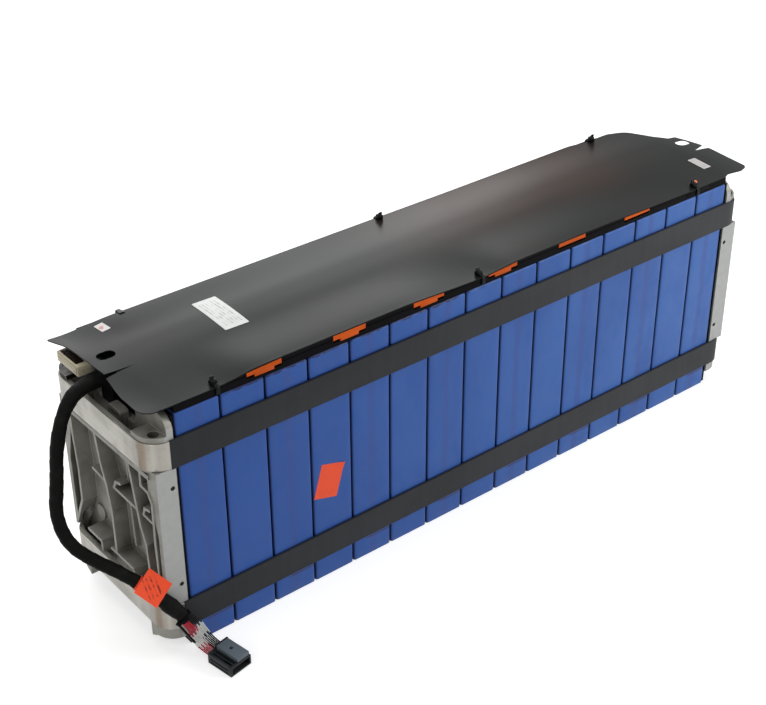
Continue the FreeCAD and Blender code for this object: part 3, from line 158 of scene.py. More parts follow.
class ShaderTree(NodeTree):
    """Node tree of one material."""

    def __init__(self, name: str) -> None:
        """Starts an empty tree with object coordinates ready.

        Args:
            name: Name of the material.
        """
        self.material = bpy.data.materials.new(name)
        self.material.use_nodes = True
        super().__init__(self.material.node_tree)
        self.tree.nodes.clear()
        self.place: Socket = self.node("ShaderNodeTexCoord").outputs["Object"]

    def spread(self, value: object, low: float, high: float, start: float = 0.0,
               end: float = 1.0) -> Socket:
        """Eased change from start to end while a value goes from low to high."""
        inputs = {"Value": value, 1: low, 2: high, 3: start, 4: end}
        return self.node("ShaderNodeMapRange", inputs, interpolation_type="SMOOTHSTEP").outputs[0]

    def around(self, value: object, middle: float, swing: float) -> Socket:
        """Turns noise into a value that swings round a middle one."""
        return self.spread(value, NOISE_LOW, NOISE_HIGH, middle - swing, middle + swing)

    def mix(self, share: object, a: object, b: object) -> Socket:
        """Blend of two colours, by the share of the second."""
        inputs = {0: share, 6: opaque(a), 7: opaque(b)}
        return self.node("ShaderNodeMix", inputs, data_type="RGBA").outputs[2]

    def grain(self, size: float, detail: float = 3.0, stretch: Point = (1.0, 1.0, 1.0)) -> Socket:
        """Noise whose features are about one size across.

        Args:
            size: Width of a feature in metres.
            detail: Number of finer layers.
            stretch: How much finer the noise is along each axis.

        Returns:
            Socket of a value round 0.5.
        """
        scaled = self.node("ShaderNodeMapping", {"Vector": self.place, "Scale": stretch}).outputs[0]
        inputs = {"Vector": scaled, "Scale": 1.0 / size, "Detail": detail}
        return self.node("ShaderNodeTexNoise", inputs).outputs[0]

    def axis(self, axis: Axis) -> Socket:
        """Object coordinate along one axis."""
        return self.node("ShaderNodeSeparateXYZ", {0: self.place}).outputs[axis.value]

    def facing(self, axis: Axis) -> Socket:
        """Component of the surface's true direction along one axis."""
        normal = self.node("ShaderNodeNewGeometry").outputs["True Normal"]
        return self.node("ShaderNodeSeparateXYZ", {0: normal}).outputs[axis.value]

    def rounded(self, radius: float) -> Socket:
        """Shading direction with edges softened over a radius."""
        return self.node("ShaderNodeBevel", {"Radius": radius}, samples=6).outputs[0]

    def edges(self, radius: float) -> Socket:
        """Value that is 1 on edges and 0 on flats.

        Args:
            radius: Width of the rubbed strip beside an edge.

        Returns:
            Socket of the value.
        """
        true = self.node("ShaderNodeNewGeometry").outputs["True Normal"]
        inputs = {0: self.rounded(radius), 1: true}
        along = self.node("ShaderNodeVectorMath", inputs, operation="DOT_PRODUCT").outputs["Value"]
        return self.spread(along, 0.97, 0.80)

    def hollows(self, reach: float) -> Socket:
        """Value that is 1 deep in a pocket and 0 on faces with no wall within reach."""
        sky = self.node("ShaderNodeAmbientOcclusion", {"Distance": reach}, samples=8, only_local=True)
        return self.minus(1.0, sky.outputs["AO"], clamp=True)

    def bump(self, height: Socket, depth: float, normal: Socket | None = None) -> Socket:
        """Relief from a height.

        Args:
            height: Socket of the height, from 0 to 1.
            depth: Height in metres of a value of 1.
            normal: Direction that it starts from.

        Returns:
            Socket of the shading direction.
        """
        inputs: dict = {"Height": height, "Distance": depth, "Strength": 1.0}
        if normal is not None:
            inputs["Normal"] = normal
        return self.node("ShaderNodeBump", inputs).outputs[0]

    def close(self, colour: object, roughness: object, normal: Socket,
              **constants: object) -> Material:
        """Ends the tree in one surface shader.

        Args:
            colour: Base colour or socket.
            roughness: Roughness or socket.
            normal: Socket of the shading direction.
            constants: Values set on the shader's own sockets, with underscores for spaces.

        Returns:
            The finished material.
        """
        inputs = {"Base Color": opaque(colour), "Roughness": roughness, "Normal": normal}
        shader = self.node("ShaderNodeBsdfPrincipled", inputs)
        for key, value in constants.items():
            shader.inputs[key.replace("_", " ")].default_value = value
        self.node("ShaderNodeOutputMaterial", {"Surface": shader.outputs[0]})
        return self.material


class GeometryTree(NodeTree):
    """One Geometry Nodes tree with named inputs, which turns an object into a plain piece."""

    def __init__(self, name: str) -> None:
        """Starts a tree that takes and gives one geometry.

        Args:
            name: Name of the tree.
        """
        super().__init__(bpy.data.node_groups.new(name, "GeometryNodeTree"))
        self.values: dict[str, object] = {}
        self.tree.interface.new_socket("Geometry", in_out="INPUT", socket_type="NodeSocketGeometry")
        self.tree.interface.new_socket("Geometry", in_out="OUTPUT", socket_type="NodeSocketGeometry")
        self.entry = self.tree.nodes.new("NodeGroupInput")
        self.geometry: Socket = self.entry.outputs[0]

    def given(self, name: str, kind: str, value: object) -> Socket:
        """Adds a named input.

        Args:
            name: Name of the input.
            kind: Type of its socket, such as Float or Object.
            value: What the modifier is given for it.

        Returns:
            Socket of the input inside the tree.
        """
        made = self.tree.interface.new_socket(name, in_out="INPUT", socket_type="NodeSocket" + kind)
        self.values[made.identifier] = value
        return self.entry.outputs[name]

    def vector(self, operation: str, a: object, b: object, output: int = 0) -> Socket:
        """Arithmetic on two vectors."""
        return self.node("ShaderNodeVectorMath", {0: a, 1: b}, operation=operation).outputs[output]

    def scaled(self, a: object, factor: object) -> Socket:
        """A vector times a number."""
        inputs = {0: a, "Scale": factor}
        return self.node("ShaderNodeVectorMath", inputs, operation="SCALE").outputs[0]

    def named(self, name: str) -> Socket:
        """Value that each point carries under a name."""
        inputs = {"Name": name}
        return self.node("GeometryNodeInputNamedAttribute", inputs, data_type="FLOAT").outputs[0]

    def moved(self, geometry: Socket, offset: Socket) -> Socket:
        """Geometry with its points moved."""
        inputs = {"Geometry": geometry, "Offset": offset}
        return self.node("GeometryNodeSetPosition", inputs).outputs[0]

    def copies(self, shape: Socket, points: Socket, turn: Socket | None = None) -> Socket:
        """Real copies of one object on points.

        Args:
            shape: Socket of the object.
            points: Socket of the points.
            turn: Socket of the turn of each copy, in radians about each axis.

        Returns:
            Socket of the copies.
        """
        source = self.node("GeometryNodeObjectInfo", {"Object": shape, "As Instance": True})
        inputs = {"Points": points, "Instance": source.outputs["Geometry"]}
        if turn is not None:
            inputs["Rotation"] = turn
        placed = self.node("GeometryNodeInstanceOnPoints", inputs).outputs[0]
        return self.node("GeometryNodeRealizeInstances", {"Geometry": placed}).outputs[0]

    def run(self, carrier: Piece, name: str, result: Socket, dress: Socket) -> Piece:
        """Ends the tree, runs it on an object and keeps the outcome as a plain mesh.

        Args:
            carrier: Object that the modifier is put on, which is then removed.
            name: Name of the piece.
            result: Socket of the geometry.
            dress: Socket of its material.

        Returns:
            The plain piece.
        """
        painted = self.node("GeometryNodeSetMaterial", {"Geometry": result, "Material": dress})
        leave = self.tree.nodes.new("NodeGroupOutput")
        self.tree.links.new(painted.outputs[0], leave.inputs[0])
        modifier = carrier.modifiers.new(self.tree.name, "NODES")
        modifier.node_group = self.tree
        for identifier, value in self.values.items():
            modifier[identifier] = value
        return plain_copy(carrier, name)


def held(value: float) -> float:
    """A value held between 0 and 1."""
    return min(1.0, max(0.0, value))


def ease(value: float) -> float:
    """Smooth step from 0 to 1 as a value goes from 0 to 1."""
    return value * value * (3 - 2 * value)


def opaque(colour: object) -> object:
    """A colour with full alpha, or the socket that was given."""
    return colour if isinstance(colour, Socket) else (*colour, 1.0)


def link(name: str, data: bpy.types.ID) -> Piece:
    """New object of some data, in the scene.

    Args:
        name: Name of the object.
        data: Its mesh, curve, lamp or camera.

    Returns:
        The object.
    """
    made = bpy.data.objects.new(name, data)
    bpy.context.scene.collection.objects.link(made)
    return made


def plain_copy(source: Piece, name: str) -> Piece:
    """Evaluated mesh of an object as a new object, in place of the old one.

    Args:
        source: Object with its modifiers.
        name: Name of the new object.

    Returns:
        The new object.
    """
    graph = bpy.context.evaluated_depsgraph_get()
    mesh = bpy.data.meshes.new_from_object(source.evaluated_get(graph), depsgraph=graph)
    bpy.data.objects.remove(source)
    mesh.name = name
    return link(name, mesh)


def mark_edges(shape: BMesh, angle: float = SHARP) -> None:
    """Smooths every face and keeps the edges that turn by more than an angle.

    Args:
        shape: The mesh.
        angle: Turn past which an edge stays sharp.
    """
    for face in shape.faces:
        face.smooth = True
    for edge in shape.edges:
        edge.smooth = len(edge.link_faces) == 2 and edge.calc_face_angle(0.0) < angle


def make(name: str, shape: BMesh, outward: bool = True, angle: float = SHARP) -> Piece:
    """Turns a worked mesh into an object.

    Args:
        name: Name of the object.
        shape: The mesh, which is used up.
        outward: Whether the faces are turned outwards first.
        angle: Turn past which an edge stays sharp.

    Returns:
        The object.
    """
    if outward:
        bmesh.ops.recalc_face_normals(shape, faces=shape.faces)
    mark_edges(shape, angle)
    mesh = bpy.data.meshes.new(name)
    shape.to_mesh(mesh)
    shape.free()
    return link(name, mesh)


def remark(piece: Piece, angle: float = SHARP) -> Piece:
    """Merges what coincides in a made mesh and marks its edges afresh.

    Args:
        piece: Object of the mesh.
        angle: Turn past which an edge stays sharp.

    Returns:
        The same object.
    """
    shape = bmesh.new()
    shape.from_mesh(piece.data)
    bmesh.ops.remove_doubles(shape, verts=shape.verts, dist=0.002 * MM)
    mark_edges(shape, angle)
    shape.to_mesh(piece.data)
    shape.free()
    return piece


def loft(shape: BMesh, rings: Sequence[Sequence[Vector]], loop: bool = False) -> None:
    """Skin over rings of points, capped at both ends unless the rings close on themselves.

    Args:
        shape: Mesh that takes the faces.
        rings: Closed rings with one count of points.
        loop: Whether the last ring joins the first.
    """
    rows = [[shape.verts.new(point) for point in ring] for ring in rings]
    count = len(rows[0])
    pairs = list(zip(rows, rows[1:]))
    if loop:
        pairs.append((rows[-1], rows[0]))
    for one, two in pairs:
        for k in range(count):
            following = (k + 1) % count
            shape.faces.new((one[k], one[following], two[following], two[k]))
    if not loop:
        shape.faces.new(rows[0])
        shape.faces.new(rows[-1])


def patch(place: Callable[[int, int], Sequence[float]], steps: tuple[int, int]) -> tuple[BMesh, list]:
    """Grid of faces over a curved patch.

    Args:
        place: Place of a corner by its two numbers.
        steps: Faces along both directions.

    Returns:
        The mesh and its corners in rows.
    """
    shape = bmesh.new()
    rows = [[shape.verts.new(place(i, j)) for j in range(steps[1] + 1)] for i in range(steps[0] + 1)]
    for i in range(steps[0]):
        for j in range(steps[1]):
            shape.faces.new((rows[i][j], rows[i + 1][j], rows[i + 1][j + 1], rows[i][j + 1]))
    return shape, rows


def circle(count: int) -> list[Span]:
    """Cosine and sine of even steps round a circle."""
    turns = [2 * math.pi * k / count for k in range(count)]
    return [(math.cos(turn), math.sin(turn)) for turn in turns]


def slice_at(shape: BMesh, axis: Axis, at: float) -> None:
    """Cuts the faces of a mesh along a plane and keeps both sides.

    Args:
        shape: The mesh.
        axis: Direction that the plane faces.
        at: Its place in that direction.
    """
    normal = Vector((0.0, 0.0, 0.0))
    normal[axis.value] = 1.0
    every = [*shape.verts, *shape.edges, *shape.faces]
    bmesh.ops.bisect_plane(shape, geom=every, plane_co=normal * at, plane_no=normal, dist=0.001 * MM)


def rounded_plan(half_x: float, half_y: float, radius: float, steps: int,
                 cuts: tuple[int, int]) -> list[Vector]:
    """Points of a rounded rectangle in plan, anticlockwise from its front far corner.

    Args:
        half_x: Half its length.
        half_y: Half its width.
        radius: Radius of the corners.
        steps: Faces in one corner.
        cuts: Faces along the sides that run along X and along Y.

    Returns:
        The points, at no height.
    """
    centres = ((1, -1), (1, 1), (-1, 1), (-1, -1))
    corners = []
    for quarter, (sx, sy) in enumerate(centres):
        middle = Vector((sx * (half_x - radius), sy * (half_y - radius), 0.0))
        arc = []
        for step in range(steps + 1):
            turn = math.pi / 2 * (quarter - 1 + step / steps)
            arc.append(middle + radius * Vector((math.cos(turn), math.sin(turn), 0.0)))
        corners.append(arc)
    points: list[Vector] = []
    for quarter, arc in enumerate(corners):
        points += arc
        following = corners[(quarter + 1) % 4][0]
        faces = cuts[1] if quarter % 2 == 0 else cuts[0]
        points += [arc[-1].lerp(following, step / faces) for step in range(1, faces)]
    return points


def bevelled_box(low: Point, high: Point, bevel: float, segments: int = 2) -> BMesh:
    """Box between two corners with rounded edges.

    Args:
        low: Lowest corner.
        high: Highest corner.
        bevel: Radius of the edges.
        segments: Faces across an edge.

    Returns:
        The mesh.
    """
    shape = bmesh.new()
    size = Vector(high) - Vector(low)
    place = Matrix.Translation((Vector(low) + Vector(high)) / 2) @ Matrix.Diagonal((*size, 1.0))
    bmesh.ops.create_cube(shape, size=1.0, matrix=place)
    bmesh.ops.bevel(shape, geom=shape.edges, offset=bevel, segments=segments, profile=0.5,
                    affect="EDGES")
    return shape


def gather(shapes: Sequence[BMesh], place: Matrix | None = None) -> BMesh:
    """One mesh of several, moved to a place.

    Args:
        shapes: Meshes, which are used up.
        place: Where they go together.

    Returns:
        The joined mesh.
    """
    whole = bmesh.new()
    for shape in shapes:
        part = bpy.data.meshes.new("part")
        shape.to_mesh(part)
        shape.free()
        whole.from_mesh(part)
        bpy.data.meshes.remove(part)
    if place is not None:
        bmesh.ops.transform(whole, matrix=place, verts=whole.verts)
    return whole


def carve(body: Piece, tool: Piece, operation: str) -> Piece:
    """Joins one object to another or cuts it out.

    Args:
        body: Object that is changed.
        tool: Object that is used up.
        operation: UNION or DIFFERENCE.

    Returns:
        The changed object.
    """
    name = body.name
    body.name = name + "_blank"
    modifier = body.modifiers.new("carve", "BOOLEAN")
    modifier.operation = operation
    modifier.solver = "EXACT"
    modifier.object = tool
    made = plain_copy(body, name)
    bpy.data.objects.remove(tool)
    return made


def taken(piece: Piece) -> BMesh:
    """Mesh of an object.

    Args:
        piece: The object, which is used up.

    Returns:
        The mesh.
    """
    shape = bmesh.new()
    shape.from_mesh(piece.data)
    bpy.data.objects.remove(piece)
    return shape


def merged_node(node: str) -> BMesh:
    """Copy of a solid's mesh with its loose triangles joined.

    Args:
        node: Name of the solid's node.

    Returns:
        The mesh.
    """
    shape = bmesh.new()
    shape.from_mesh(frame["nodes"][node].data)
    bmesh.ops.remove_doubles(shape, verts=shape.verts, dist=0.005 * MM)
    return shape


def nurbs(name: str, route: Sequence[Point]) -> Piece:
    """Curve object whose one open spline has a route as its control points.

    Args:
        name: Name of the curve.
        route: Control points in metres.

    Returns:
        The curve object.
    """
    curve = bpy.data.curves.new(name, "CURVE")
    curve.dimensions = "3D"
    curve.resolution_u = 24
    spline = curve.splines.new("NURBS")
    spline.points.add(len(route) - 1)
    for point, control in zip(spline.points, route):
        point.co = (*control, 1.0)
    spline.order_u = 3
    spline.use_endpoint_u = True
    return link(name, curve)


class Line:
    """Smooth line read from a route's spline, with a frame at any distance along it."""

    def __init__(self, route: Sequence[Point], across: Point = (0.0, 0.0, 1.0)) -> None:
        """Reads the line.

        Args:
            route: Control points in metres.
            across: Direction that the frame's side starts near.
        """
        curve = nurbs("line", route)
        graph = bpy.context.evaluated_depsgraph_get()
        mesh = bpy.data.meshes.new_from_object(curve.evaluated_get(graph), depsgraph=graph)
        self.points = [vertex.co.copy() for vertex in mesh.vertices]
        bpy.data.meshes.remove(mesh)
        bpy.data.objects.remove(curve)
        self.sides: list[Vector] = []
        self.reach = [0.0]
        side = Vector(across)
        for here, after in zip(self.points, self.points[1:] + self.points[-1:]):
            along = self.direction(len(self.sides))
            side = (side - along * side.dot(along)).normalized()
            self.sides.append(side)
            self.reach.append(self.reach[-1] + (after - here).length)
        self.reach.pop()

    @property
    def length(self) -> float:
        """Whole length in metres."""
        return self.reach[-1]

    def direction(self, index: int) -> Vector:
        """Direction of the line at one of its points.

        Args:
            index: Number of the point.

        Returns:
            The direction, of length 1.
        """
        before = self.points[max(index - 1, 0)]
        after = self.points[min(index + 1, len(self.points) - 1)]
        return (after - before).normalized()

    def station(self, distance: float) -> tuple[Vector, Vector, Vector]:
        """Point, direction and side at a distance along the line.

        Args:
            distance: Metres from the start, held to the line.

        Returns:
            The point, the direction and the side.
        """
        distance = min(max(distance, 0.0), self.length)
        index = 0
        while index < len(self.reach) - 2 and self.reach[index + 1] < distance:
            index += 1
        span = self.reach[index + 1] - self.reach[index]
        share = (distance - self.reach[index]) / span if span > 0 else 0.0
        point = self.points[index].lerp(self.points[index + 1], share)
        along = self.direction(index).lerp(self.direction(index + 1), share).normalized()
        side = self.sides[index].lerp(self.sides[index + 1], share)
        side = (side - along * side.dot(along)).normalized()
        return point, along, side

    def nearest(self, target: Vector) -> float:
        """Distance along the line of its point nearest to a target."""
        best = min(range(len(self.points)), key=lambda k: (self.points[k] - target).length)
        return self.reach[best]

    def tuples(self) -> list[Point]:
        """The line's points as plain tuples."""
        return [tuple(point) for point in self.points]


def tube_rings(line: Line, start: float, end: float, step: float, sides: int,
               radius: Callable[[float, float], float]) -> list[list[Vector]]:
    """Rings of a round skin along a line.

    Args:
        line: Line that the skin follows.
        start: Distance of the first ring.
        end: Distance of the last ring.
        step: About how far apart the rings are.
        sides: Points in a ring.
        radius: Radius at a distance along the line and an angle round it.

    Returns:
        The rings.
    """
    count = max(2, round((end - start) / step))
    rings = []
    for index in range(count + 1):
        distance = start + (end - start) * index / count
        point, along, side = line.station(distance)
        other = along.cross(side)
        ring = []
        for k in range(sides):
            turn = 2 * math.pi * k / sides
            out = side * math.cos(turn) + other * math.sin(turn)
            ring.append(point + out * radius(distance, turn))
        rings.append(ring)
    return rings


@dataclass(frozen=True)
class Moulded:
    """Moulded plastic: a colour that drifts a little, fine grain and slightly rubbed edges."""

    name: str
    colour: Colour
    roughness: float = 0.5
    drift: float = 0.18
    rubbed: float = 0.25
    index: float = 1.4
    grain: float = 1.4 * MM
    relief: float = 0.03 * MM
    softness: float = 0.35 * MM
    metallic: float = 0.0

    def material(self) -> Material:
        """Builds the material.

        Returns:
            The material.
        """
        tree = ShaderTree(self.name)
        shade = tree.grain(26 * MM, 4.0)
        dark = tuple(value * (1.0 - self.drift) for value in self.colour)
        light = tuple(min(1.0, value * (1.0 + self.drift)) for value in self.colour)
        colour = tree.mix(tree.spread(shade, 0.35, 0.65), dark, light)
        worn = tuple(min(1.0, value * 1.5 + 0.03) for value in self.colour)
        rubbed = tree.times(tree.edges(self.softness), self.rubbed)
        colour = tree.mix(rubbed, colour, worn)
        fine = tree.grain(self.grain, 3.0)
        rough = tree.around(fine, self.roughness, 0.07)
        normal = tree.bump(fine, self.relief, tree.rounded(self.softness))
        return tree.close(colour, rough, normal, Metallic=self.metallic, IOR=self.index)


@dataclass(frozen=True)
class CellFilm:
    """Blue shrink film: a slow drift, a glued seam down every other cell, a low fold line, and painted
    shade towards the near end, between cells, under the sleeves' edges and under the lids.
    """

    name: str = "cell_film"
    # painted shade and light along the stack: near is the film darkened by painted shade, far the film
    # lightened by painted light
    near: Colour = (0.0235, 0.086, 0.335)
    far: Colour = (0.0400, 0.124, 0.395)
    deep: Colour = (0.019, 0.076, 0.300)
    seam: Colour = (0.040, 0.070, 0.265)
    # colour of the low fold line, whose darkness is painted shade of the crease
    fold: Colour = (0.034, 0.022, 0.070)
    # colour of the painted shade between cells, under the sleeves' edges and under the lids
    painted_shade: Colour = (0.003, 0.010, 0.066)
    lid_shade: float = 198.9 * MM
    lid_from: Span = (-0.245, -0.225)
    lid_to: Span = (-0.04, 0.03)
    # heights of the sleeves' edges, under which a painted shadow lies
    sleeve_shadow_levels: tuple[float, ...] = (42.7 * MM, 182.2 * MM)
    count: int = 15
    pitch: float = 37.0 * MM
    seam_half: float = 0.125
    seam_at: float = 0.55
    seam_wander: float = 0.10
    fold_height: float = 16.3 * MM
    roughness: float = 0.40

    def material(self) -> Material:
        """Builds the material.

        Returns:
            The material.
        """
        tree = ShaderTree(self.name)
        x, z = tree.axis(Axis.X), tree.axis(Axis.Z)
        cells = tree.plus(tree.number("DIVIDE", x, self.pitch), self.count / 2)
        index = tree.number("FLOOR", cells)
        local = tree.minus(cells, index)
        seamed = tree.minus(1.0, tree.number("MODULO", index, 2.0))
        slow = tree.grain(55 * MM, 3.0, (1.0, 1.0, 0.5))
        # painted shade and light: darker towards the near end, lighter towards the far end, as the
        # light falls
        colour = tree.mix(tree.spread(x, -0.27, 0.25), self.near, self.far)
        colour = tree.mix(tree.spread(slow, 0.35, 0.65, 0.55, 0.0), colour, self.deep)
        wander = tree.times(tree.grain(30 * MM, 2.0, (0.2, 1.0, 1.0)), self.seam_wander)
        off = tree.size(tree.minus(tree.plus(local, wander), self.seam_at))
        band = tree.spread(off, self.seam_half, self.seam_half * 0.30, 0.0, 0.45)
        colour = tree.mix(tree.times(band, seamed), colour, self.seam)
        # painted shade: a dark line where the film folds, low on every other cell
        level = tree.size(tree.minus(z, self.fold_height))
        crease = tree.times(tree.spread(level, 1.0 * MM, 0.35 * MM, 0.0, 0.8), seamed)
        crease = tree.times(crease, tree.spread(local, 0.25, 0.45))
        colour = tree.mix(crease, colour, self.fold)
        # painted shade in narrow strips where the cells meet
        side = tree.size(tree.minus(local, 0.5))
        dark = tree.spread(side, 0.5 - 1.5 * MM / self.pitch, 0.5 - 0.75 * MM / self.pitch)
        # painted shadow in a strip just under each sleeve's edge
        for sleeve_edge in self.sleeve_shadow_levels:
            above = tree.minus(z, sleeve_edge)
            under = tree.number("GREATER_THAN", above, -2.0 * MM)
            strip = tree.times(tree.spread(above, 0.5 * MM, 1.5 * MM, 1.0, 0.0), under)
            dark = tree.number("MAXIMUM", dark, strip)
        # painted shade over the top of the cans, under the tray's rim
        uneven = tree.around(tree.grain(9 * MM, 2.0), 0.0, 0.9 * MM)
        lid = tree.spread(tree.plus(z, uneven), self.lid_shade, self.lid_shade + 0.9 * MM)
        (start, full), (falls, gone) = self.lid_from, self.lid_to
        ends = tree.times(tree.spread(x, start, full), tree.spread(x, falls, gone, 1.0, 0.0))
        dark = tree.number("MAXIMUM", dark, tree.times(lid, ends))
        colour = tree.mix(tree.times(dark, 0.95), colour, self.painted_shade)
        smear = tree.grain(7 * MM, 4.0, (1.0, 1.0, 0.6))
        rough = tree.around(smear, self.roughness, 0.09)
        relief = tree.bump(tree.grain(11 * MM, 3.0, (1.0, 1.0, 0.35)), 0.12 * MM)
        return tree.close(colour, rough, relief, IOR=1.33)


@dataclass(frozen=True)
class CastMetal:
    """Die-cast aluminium: painted shade in its pockets with blotchy stains, a painted shadow on its
    near back corner, bright rib edges and machined side faces.
    """

    name: str = "cast_metal"
    # colour of the painted shade in the pockets, also used for blotchy stains
    stain_and_pocket_shade: Colour = (0.100, 0.095, 0.076)
    skin: Colour = (0.285, 0.280, 0.248)
    worn: Colour = (0.430, 0.425, 0.390)
    machined: Colour = (0.355, 0.362, 0.350)
    # colour of a painted shadow on the near back corner
    black: Colour = (0.006, 0.005, 0.004)
    side: float = 65.5 * MM
    shadow_above: float = 182.2 * MM
    shadow_behind: Span = (18 * MM, 26 * MM)
    roughness: float = 0.52

    def material(self) -> Material:
        """Builds the material.

        Returns:
            The material.
        """
        tree = ShaderTree(self.name)
        # painted shade deep in the pockets, summed with blotchy stains
        pocket = tree.spread(tree.hollows(16 * MM), 0.05, 0.75, 0.0, 0.68)
        blotch = tree.spread(tree.grain(14 * MM, 5.0), 0.3, 0.7, -0.18, 0.24)
        colour = tree.mix(tree.plus(pocket, blotch, clamp=True), self.skin, self.stain_and_pocket_shade)
        # painted shadow: black over the top of the near back corner, in place of a shaded pocket
        behind = tree.spread(tree.axis(Axis.Y), *self.shadow_behind)
        corner = tree.times(tree.number("GREATER_THAN", tree.axis(Axis.Z), self.shadow_above), behind)
        corner = tree.times(corner, tree.number("LESS_THAN", tree.axis(Axis.X), 0.0))
        colour = tree.mix(corner, colour, self.black)
        colour = tree.mix(tree.times(tree.edges(0.8 * MM), 0.8), colour, self.worn)
        y = tree.size(tree.axis(Axis.Y))
        across = tree.size(tree.facing(Axis.Y))
        outer = tree.number("GREATER_THAN", y, self.side)
        cut = tree.times(outer, tree.number("GREATER_THAN", across, 0.97))
        colour = tree.mix(cut, colour, self.machined)
        fine = tree.grain(1.1 * MM, 4.0)
        milled = tree.grain(3.0 * MM, 2.0, (14.0, 1.0, 1.0))
        height = tree.plus(fine, tree.times(milled, cut))
        rough = tree.around(tree.grain(6 * MM, 4.0), self.roughness, 0.1)
        normal = tree.bump(height, 0.05 * MM, tree.rounded(0.6 * MM))
        return tree.close(colour, rough, normal, Metallic=0.45, IOR=1.4)


@dataclass(frozen=True)
class StrapSteel:
    """Zinc-coated steel band with fine rolling marks along it, and painted reflections and painted
    shade round its bends.
    """

    name: str = "strap_steel"
    colour: Colour = (0.390, 0.375, 0.340)
    shade: Colour = (0.285, 0.270, 0.240)
    # colours of painted reflections: light and dark stripes round the bends
    bright: Colour = (0.500, 0.480, 0.430)
    dark: Colour = (0.190, 0.155, 0.120)
    # painted reflection: a brownish dark stripe at one place round each bend
    brown_reflection: Colour = (0.215, 0.160, 0.115)
    brown_reflection_at: float = 243.0 * MM
    brown_reflection_half: Span = (1.5 * MM, 6.5 * MM)
    reflection_band_size: float = 12.0 * MM
    corner_start: float = 0.262
    roughness: float = 0.32

    def material(self) -> Material:
        """Builds the material.

        Returns:
            The material.
        """
        tree = ShaderTree(self.name)
        cloud = tree.grain(18 * MM, 4.0)
        colour = tree.mix(tree.spread(cloud, 0.35, 0.7), self.colour, self.shade)
        # painted reflections: broad light and dark stripes round the bends in place of the studio's
        # reflections
        along = tree.minus(tree.size(tree.axis(Axis.X)), tree.size(tree.axis(Axis.Y)))
        inputs = {"W": along, "Scale": 1.0 / self.reflection_band_size, "Detail": 0.5}
        reflection_bands = tree.node("ShaderNodeTexNoise", inputs, noise_dimensions="1D").outputs[0]
        bent = tree.spread(along, self.corner_start + 6 * MM, self.corner_start - 8 * MM)
        painted_light = tree.times(tree.spread(reflection_bands, 0.48, 0.72, 0.0, 0.8), bent)
        colour = tree.mix(painted_light, colour, self.bright)
        painted_dark = tree.times(tree.spread(reflection_bands, 0.50, 0.32, 0.0, 0.7), bent)
        colour = tree.mix(painted_dark, colour, self.dark)
        # painted shade: the bends are darkened towards the shade colour, which also gives the cloudy
        # tone
        colour = tree.mix(tree.times(bent, 0.45), colour, self.shade)
        # painted reflection: a brownish dark stripe at one place round each bend
        beside = tree.size(tree.minus(along, self.brown_reflection_at))
        colour = tree.mix(tree.spread(beside, *self.brown_reflection_half, 0.75, 0.0), colour, self.brown_reflection)
        rolled = tree.grain(1.2 * MM, 2.0, (0.02, 0.02, 1.0))
        rough = tree.around(rolled, self.roughness + 0.01, 0.07)
        normal = tree.bump(rolled, 0.02 * MM, tree.rounded(0.25 * MM))
        return tree.close(colour, rough, normal, Metallic=0.9)


@dataclass(frozen=True)
class BlackSheet:
    """Black polyester sheet with an eggshell face and a brownish painted reflection further on from the
    near end.
    """

    name: str = "black_sheet"
    cool: Colour = (0.0085, 0.0100, 0.0102)
    # colour of a brownish painted reflection
    brown_sheen: Colour = (0.031, 0.0168, 0.0122)
    sheen_rise: Span = (-0.08, 0.09)
    sheen_fall: Span = (0.27, 0.17)
    sheen_side: Span = (-0.035, 0.015)
    sheen_least: float = 0.12
    roughness: float = 0.31

    def material(self) -> Material:
        """Builds the material.

        Returns:
            The material.
        """
        tree = ShaderTree(self.name)
        x, y = tree.axis(Axis.X), tree.axis(Axis.Y)
        # painted reflection: where the brownish colour is mixed in, further on and towards the back
        share = tree.spread(x, *self.sheen_rise)
        share = tree.times(share, tree.spread(x, *self.sheen_fall))
        share = tree.times(share, tree.spread(y, *self.sheen_side, self.sheen_least, 1.0))
        drift = tree.around(tree.grain(70 * MM, 1.0), 0.0, 0.08)
        colour = tree.mix(tree.plus(share, drift, clamp=True), self.cool, self.brown_sheen)
        rough = tree.around(tree.grain(90 * MM, 0.0), self.roughness, 0.012)
        normal = tree.bump(tree.grain(0.35 * MM, 1.0), 0.003 * MM)
        return tree.close(colour, rough, normal, IOR=1.15, Specular_Tint=(0.965, 1.0, 0.992, 1.0))


@dataclass(frozen=True)
class SleeveFilm:
    """Dark matt film shrunk round the straps, with faint creases across it and painted shade that
    darkens it towards the near end.
    """

    name: str = "sleeve_film"
    near: Colour = (0.0205, 0.0215, 0.0240)
    far: Colour = (0.0350, 0.0360, 0.0385)
    lighter: float = 1.22
    roughness: float = 0.62

    def material(self) -> Material:
        """Builds the material.

        Returns:
            The material.
        """
        tree = ShaderTree(self.name)
        cloud = tree.grain(60 * MM, 4.0, (0.5, 1.0, 1.5))
        # painted shade and light: darker towards the near end, lighter towards the far end
        share = tree.spread(tree.axis(Axis.X), -0.30, 0.26)
        colour = tree.mix(share, self.near, self.far)
        light = (tuple(value * self.lighter for value in shade) for shade in (self.near, self.far))
        colour = tree.mix(tree.spread(cloud, 0.35, 0.65), colour, tree.mix(share, *light))
        creases = tree.grain(9 * MM, 3.0, (1.6, 1.0, 0.25))
        rough = tree.around(creases, self.roughness, 0.04)
        normal = tree.bump(creases, 0.03 * MM, tree.rounded(0.3 * MM))
        return tree.close(colour, rough, normal, IOR=1.25)


